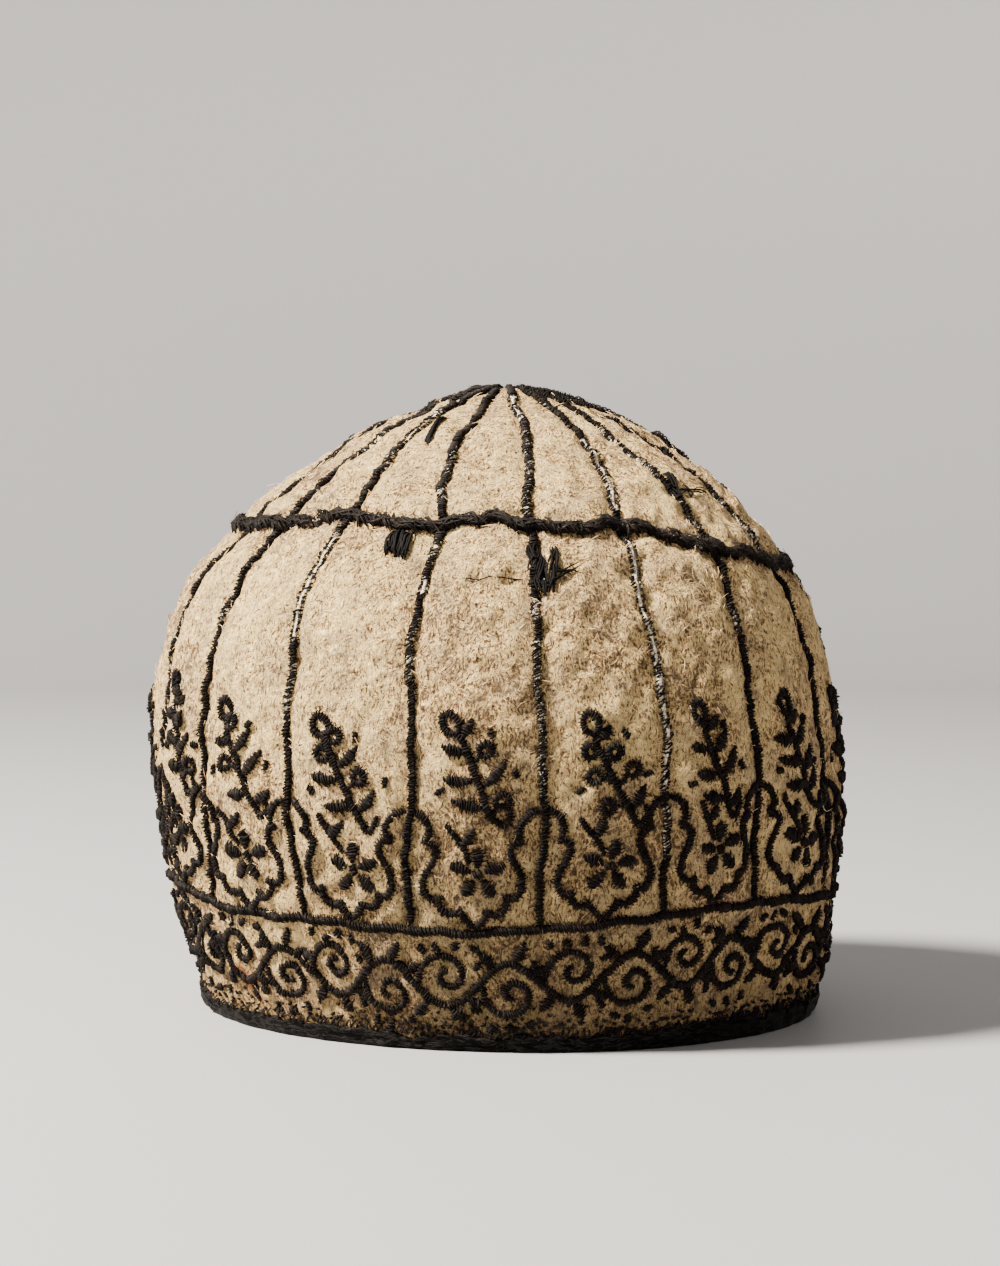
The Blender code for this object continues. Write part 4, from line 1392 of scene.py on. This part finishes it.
feltLook = {
    "stops": ((0.02, (0.060, 0.035, 0.016)), (0.24, (0.190, 0.117, 0.054)), (0.48, (0.470, 0.295, 0.130)),
              (0.74, (0.830, 0.540, 0.232)), (1.00, (1.000, 0.730, 0.325))),
    "gold": (0.560, 0.270, 0.060), "ash": (0.270, 0.205, 0.150), "flecks": (0.080, 0.045, 0.022),
    "grey": (0.100, 0.082, 0.074), "grime": (0.270, 0.140, 0.050), "soot": (0.018, 0.011, 0.007),
    # shaded is the grey that multiplies the felt and fibres for painted shade
    "rust": (0.300, 0.078, 0.008), "shaded": (0.120, 0.120, 0.125),
    "tangles": (               # long hairs, wide hairs and dark flecks: stretch, size, bend, thinness
        ((1.1, 1.1, 0.32), 1.65, 3.5, 7.0), ((0.50, 0.50, 1.0), 1.10, 5.5, 8.0),
        ((0.9, 0.9, 0.45), 0.75, 7.0, 14.0),
    ),
    "bump": 0.00185,
}


def feltMaterial(tangle):
    # cream wool: fine fibre lumps in five tones with pale hairs over them, ashen and golden patches,
    # brown flecks, smudges and a darker line along the crease, grime towards the hem and beside the
    # cords, rust, soot above the strip, and all of it multiplied by a grey for painted shade low down
    look = feltLook
    material, tree, shader = newMaterial("hairyFelt", Roughness=0.95, Specular_IOR_Level=0.2)
    place = millimetres(tree)
    long, wide, dark = [tangled(tree, tangle, place, *row) for row in look["tangles"]]
    clumps = noiseAt(tree, place, 0.28, 4.0, 0.6)["Fac"]
    patches = noiseAt(tree, place, 0.045, 3.0)["Fac"]
    ashen = noiseAt(tree, place, 0.085, 5.0, 0.7)["Fac"]
    specks = noiseAt(tree, place, 0.62, 2.0)["Fac"]
    hairs = mathNode(tree, "MAXIMUM", long["Lines"], wide["Lines"])
    lumps = weighted(tree, (long["Lumps"], 2.10), (wide["Lumps"], 1.10), (clumps, 0.85), (patches, 0.90),
                     (mark(tree, "toneShift"), 0.45))
    tone = weighted(tree, spread(tree, lumps, 2.21, 2.73), (hairs, 0.34))
    colour = rampNode(tree, tone, look["stops"])
    colour = mixColour(tree, times(tree, spread(tree, ashen, 0.48, 0.66), 0.50), colour, look["ash"])
    golden = times(tree, spread(tree, wide["Lumps"], 0.60, 0.72), spread(tree, patches, 0.42, 0.62))
    colour = mixColour(tree, times(tree, golden, 0.25), colour, look["gold"])
    flecked = times(tree, dark["Lines"], spread(tree, clumps, 0.58, 0.40))
    colour = mixColour(tree, times(tree, flecked, 0.45), colour, look["flecks"])
    smudge = mark(tree, "smudge")
    smudged = times(tree, spread(tree, weighted(tree, smudge, (clumps, 0.9)), 0.40, 1.05), smudge)
    colour = mixColour(tree, times(tree, smudged, 0.85, clamp=True), colour, look["grey"])
    dirty = spread(tree, weighted(tree, mark(tree, "grime"), (patches, 0.5)), 0.28, 1.30)
    colour = mixColour(tree, times(tree, dirty, 0.80), colour, look["grime"])
    rusty = times(tree, mark(tree, "rust"), spread(tree, clumps, 0.10, 0.55))
    colour = mixColour(tree, rusty, colour, look["rust"])
    sooty = spread(tree, weighted(tree, (mark(tree, "soot"), 0.26), specks), 0.66, 0.74)
    colour = mixColour(tree, times(tree, sooty, 0.85), colour, look["soot"])
    # painted shade: the colour multiplied by a grey low down
    colour = mixColour(tree, mark(tree, "shade"), colour, look["shaded"], blend="MULTIPLY")
    feed(tree, shader.inputs["Base Color"], colour)
    addBump(tree, shader, weighted(tree, (long["Lumps"], 1.8), (clumps, 2.2), (hairs, 0.36)), look["bump"])
    return material


fuzzLook = {
    "stops": ((0.0, (0.97, 0.76, 0.46)), (0.50, (0.85, 0.58, 0.29)), (0.78, (0.60, 0.36, 0.14)),
              (0.93, (0.30, 0.17, 0.07)), (0.985, (0.08, 0.055, 0.040))),
    "grime": (0.24, 0.13, 0.05),
}


def fuzzMaterial():
    # each fibre has one tone, from white through gold and brown to dark; grime and painted shade low down
    material, tree, shader = newMaterial("looseFibres", Roughness=0.75)
    colour = rampNode(tree, mark(tree, "tone"), fuzzLook["stops"])
    colour = mixColour(tree, times(tree, mark(tree, "grime"), 0.6), colour, fuzzLook["grime"])
    colour = mixColour(tree, mark(tree, "shade"), colour, feltLook["shaded"], blend="MULTIPLY")
    feed(tree, shader.inputs["Base Color"], colour)
    return material


woolLook = {
    # worn is the colour of pale rubbed specks: partly wear, partly painted glints
    "dark": (0.0022, 0.0015, 0.0013), "brown": (0.0100, 0.0060, 0.0042), "worn": (0.105, 0.070, 0.050),
    "core": (0.860, 0.780, 0.620), "coreShade": (0.300, 0.210, 0.130), "bump": 0.00018,
}


def woolMaterial(grain):
    # near black wool with browner wraps, pale rubbed specks that are partly wear and partly painted
    # glints, and the pale core where it is bare
    look = woolLook
    material, tree, shader = newMaterial("darkWool", Roughness=0.62, Specular_IOR_Level=0.14)
    place = millimetres(tree)
    yarn = useGroup(tree, grain, {"Place": place, "Fineness": 4.5})
    tone = weighted(tree, (mark(tree, "tone"), 0.55), (yarn["Patch"], 0.6))
    colour = mixColour(tree, spread(tree, tone, 0.25, 0.95), look["dark"], look["brown"])
    fine = useGroup(tree, grain, {"Place": place, "Fineness": 2.0})
    # pale specks that are partly rubbed wear and partly painted glints
    rubbed = times(tree, spread(tree, fine["Grain"], 0.58, 0.70), spread(tree, yarn["Patch"], 0.30, 0.70))
    colour = mixColour(tree, rubbed, colour, look["worn"])
    core = mixColour(tree, spread(tree, fine["Grain"], 0.40, 0.56), look["coreShade"], look["core"])
    bare = spread(tree, weighted(tree, mark(tree, "bare"), (fine["Grain"], 0.9)), 0.68, 0.78)
    colour = mixColour(tree, bare, colour, core)
    feed(tree, shader.inputs["Base Color"], colour)
    addBump(tree, shader, yarn["Grain"], look["bump"])
    return material


threadLook = {"dark": (0.0016, 0.0014, 0.0015), "light": (0.0060, 0.0050, 0.0050), "bump": 0.00010}


def threadMaterial(grain):
    # smoother, blacker thread of the repairs
    material, tree, shader = newMaterial("repairThread", Roughness=0.65, Specular_IOR_Level=0.08)
    yarn = useGroup(tree, grain, {"Place": millimetres(tree), "Fineness": 6.0})
    tone = weighted(tree, (mark(tree, "tone"), 0.6), (yarn["Grain"], 0.5))
    colour = mixColour(tree, spread(tree, tone, 0.3, 0.9), threadLook["dark"], threadLook["light"])
    feed(tree, shader.inputs["Base Color"], colour)
    addBump(tree, shader, yarn["Grain"], threadLook["bump"])
    return material


stripLook = {
    "dark": (0.0006, 0.0005, 0.0005), "grey": (0.0018, 0.0015, 0.0014), "worn": (0.007, 0.005, 0.004),
    "glint": (0.022, 0.019, 0.018), "tangle": ((0.22, 0.22, 1.6), 0.8, 2.5, 6.0), "bump": 0.00120,
}


def stripMaterial(grain, tangle):
    # black leather with fine wrinkles that run round the rim, painted glints along the wrinkles, and
    # rubbed brown at its upper edge
    look = stripLook
    material, tree, shader = newMaterial("foldedStrip", Specular_IOR_Level=0.035)
    place = millimetres(tree)
    wrinkles = tangled(tree, tangle, place, *look["tangle"])
    yarn = useGroup(tree, grain, {"Place": place, "Fineness": 2.2})
    tone = weighted(tree, (yarn["Grain"], 0.6), (yarn["Patch"], 0.5))
    colour = mixColour(tree, spread(tree, tone, 0.42, 0.75), look["dark"], look["grey"])
    proud = times(tree, spread(tree, mark(tree, "up"), 0.70, 1.0), spread(tree, yarn["Grain"], 0.50, 0.70))
    colour = mixColour(tree, proud, colour, look["worn"])
    # painted glints along the wrinkles
    colour = mixColour(tree, spread(tree, wrinkles["Lines"], 0.72, 1.0), colour, look["glint"])
    feed(tree, shader.inputs["Base Color"], colour)
    feed(tree, shader.inputs["Roughness"], weighted(tree, (yarn["Grain"], 0.45), 0.25))
    addBump(tree, shader, weighted(tree, wrinkles["Lumps"], (yarn["Grain"], 0.35)), look["bump"])
    return material


# Stage, camera and light

studio = {
    "floor": (0.36, 0.36, 0.375), "floorRings": (0.4, 1.0), "columns": 96,
    "wallDistance": 2.1, "wallBend": 0.6, "wallHeight": 2.4,
    "cameraPlace": (-0.0006, -1.0, 0.160), "cameraPitch": 2.74, "focal": 93.8, "shift": -0.004,
    "lights": (          # name, place, aimed at, size, watts, colour
        ("keyLight", (-1.22, -0.43, 1.57), (0.0, 0.0, 0.10), 0.42, 245.0, (1.0, 0.925, 0.80)),
        ("fillLight", (1.60, -0.55, 0.60), (0.0, 0.0, 0.08), 1.20, 0.5, (0.68, 0.84, 1.0)),
        ("topLight", (-0.20, 0.25, 1.50), (0.0, 0.0, 0.10), 0.90, 2.0, (1.0, 0.98, 0.95)),
    ),
    "sky": (0.68, 0.80, 1.0), "skyStrength": 0.085,
}


def makeStage():
    # a round floor that bends up into a wall: straight out, a quarter circle, straight up, and that
    # line turned round the middle
    bend = np.radians(np.linspace(0, 90, 14))
    far, r = studio["wallDistance"], studio["wallBend"]
    out = np.concatenate([studio["floorRings"], far - r + r * np.sin(bend), [far]])
    z = np.concatenate([[0.0, 0.0], r - r * np.cos(bend), [studio["wallHeight"]]])
    turn = 2 * math.pi * np.arange(studio["columns"]) / studio["columns"]
    x, y = np.outer(out, np.cos(turn)), np.outer(out, np.sin(turn))
    points = np.stack([x, y, z[:, None] + 0 * turn], -1).reshape(-1, 3)
    at = np.arange(len(points)).reshape(len(out), -1)
    faces = ringQuads(at)[:, ::-1].tolist() + fanFaces(at[0], len(points)).tolist()
    mesh = bpy.data.meshes.new("studioFloor")
    mesh.from_pydata(points.tolist() + [(0.0, 0.0, 0.0)], [], faces)
    mesh.shade_smooth()
    mesh.materials.append(newMaterial("paleFloor", Roughness=0.6, Base_Color=(*studio["floor"], 1.0))[0])
    floor = bpy.data.objects.new("studio_floor", mesh)
    bpy.context.scene.collection.objects.link(floor)


def aim(item, place, target):
    # places a lamp and turns it to look at its target
    way = np.array(target) - np.array(place)
    flat = math.hypot(way[0], way[1])
    item.location = place
    item.rotation_euler = (math.pi / 2 + math.atan2(way[2], flat), 0, math.atan2(-way[0], way[1]))


def makeLights():
    # three round soft lamps and a dim sky
    for name, place, target, size, watts, colour in studio["lights"]:
        data = bpy.data.lights.new(name, "AREA")
        data.shape, data.size, data.energy, data.color = "DISK", size, watts, colour
        lamp = bpy.data.objects.new(name, data)
        bpy.context.scene.collection.objects.link(lamp)
        aim(lamp, place, target)
    world = bpy.data.worlds.new("studioSky")
    world.use_nodes = True
    background = world.node_tree.nodes["Background"]
    background.inputs["Color"].default_value = (*studio["sky"], 1.0)
    background.inputs["Strength"].default_value = studio["skyStrength"]
    bpy.context.scene.world = world


def makeCamera():
    # level with the upper part of the cap and tipped slightly down, as the photo was taken
    data = bpy.data.cameras.new("photoCamera")
    data.sensor_width, data.lens, data.shift_x = 36.0, studio["focal"], studio["shift"]
    camera = bpy.data.objects.new("photoCamera", data)
    bpy.context.scene.collection.objects.link(camera)
    camera.location = studio["cameraPlace"]
    camera.rotation_euler = (math.radians(90 - studio["cameraPitch"]), 0, 0)
    bpy.context.scene.camera = camera


# The hat

tangle, grain = hairTangleGroup(), yarnGrainGroup()
felt, fibres, wool = feltMaterial(tangle), fuzzMaterial(), woolMaterial(grain)
makeFelt(felt)
makeFuzz(fibres)
print("felt done")
for k in range(wall["gores"]):
    makeGoreCord(k, wool)
    makeCartouche(k, wool)
makeRingCord(wool)
makeBandCord(wool)
print("cords done")
makeOrnament(wool)
print("ornament done")
makeStrip(stripMaterial(grain, tangle))
makeHemStitches(wool)
makeRepairs(threadMaterial(grain))
print("strip and stitches done, triangles in all:", sum(madeTriangles))

makeStage()
makeLights()
makeCamera()
print("studio done")
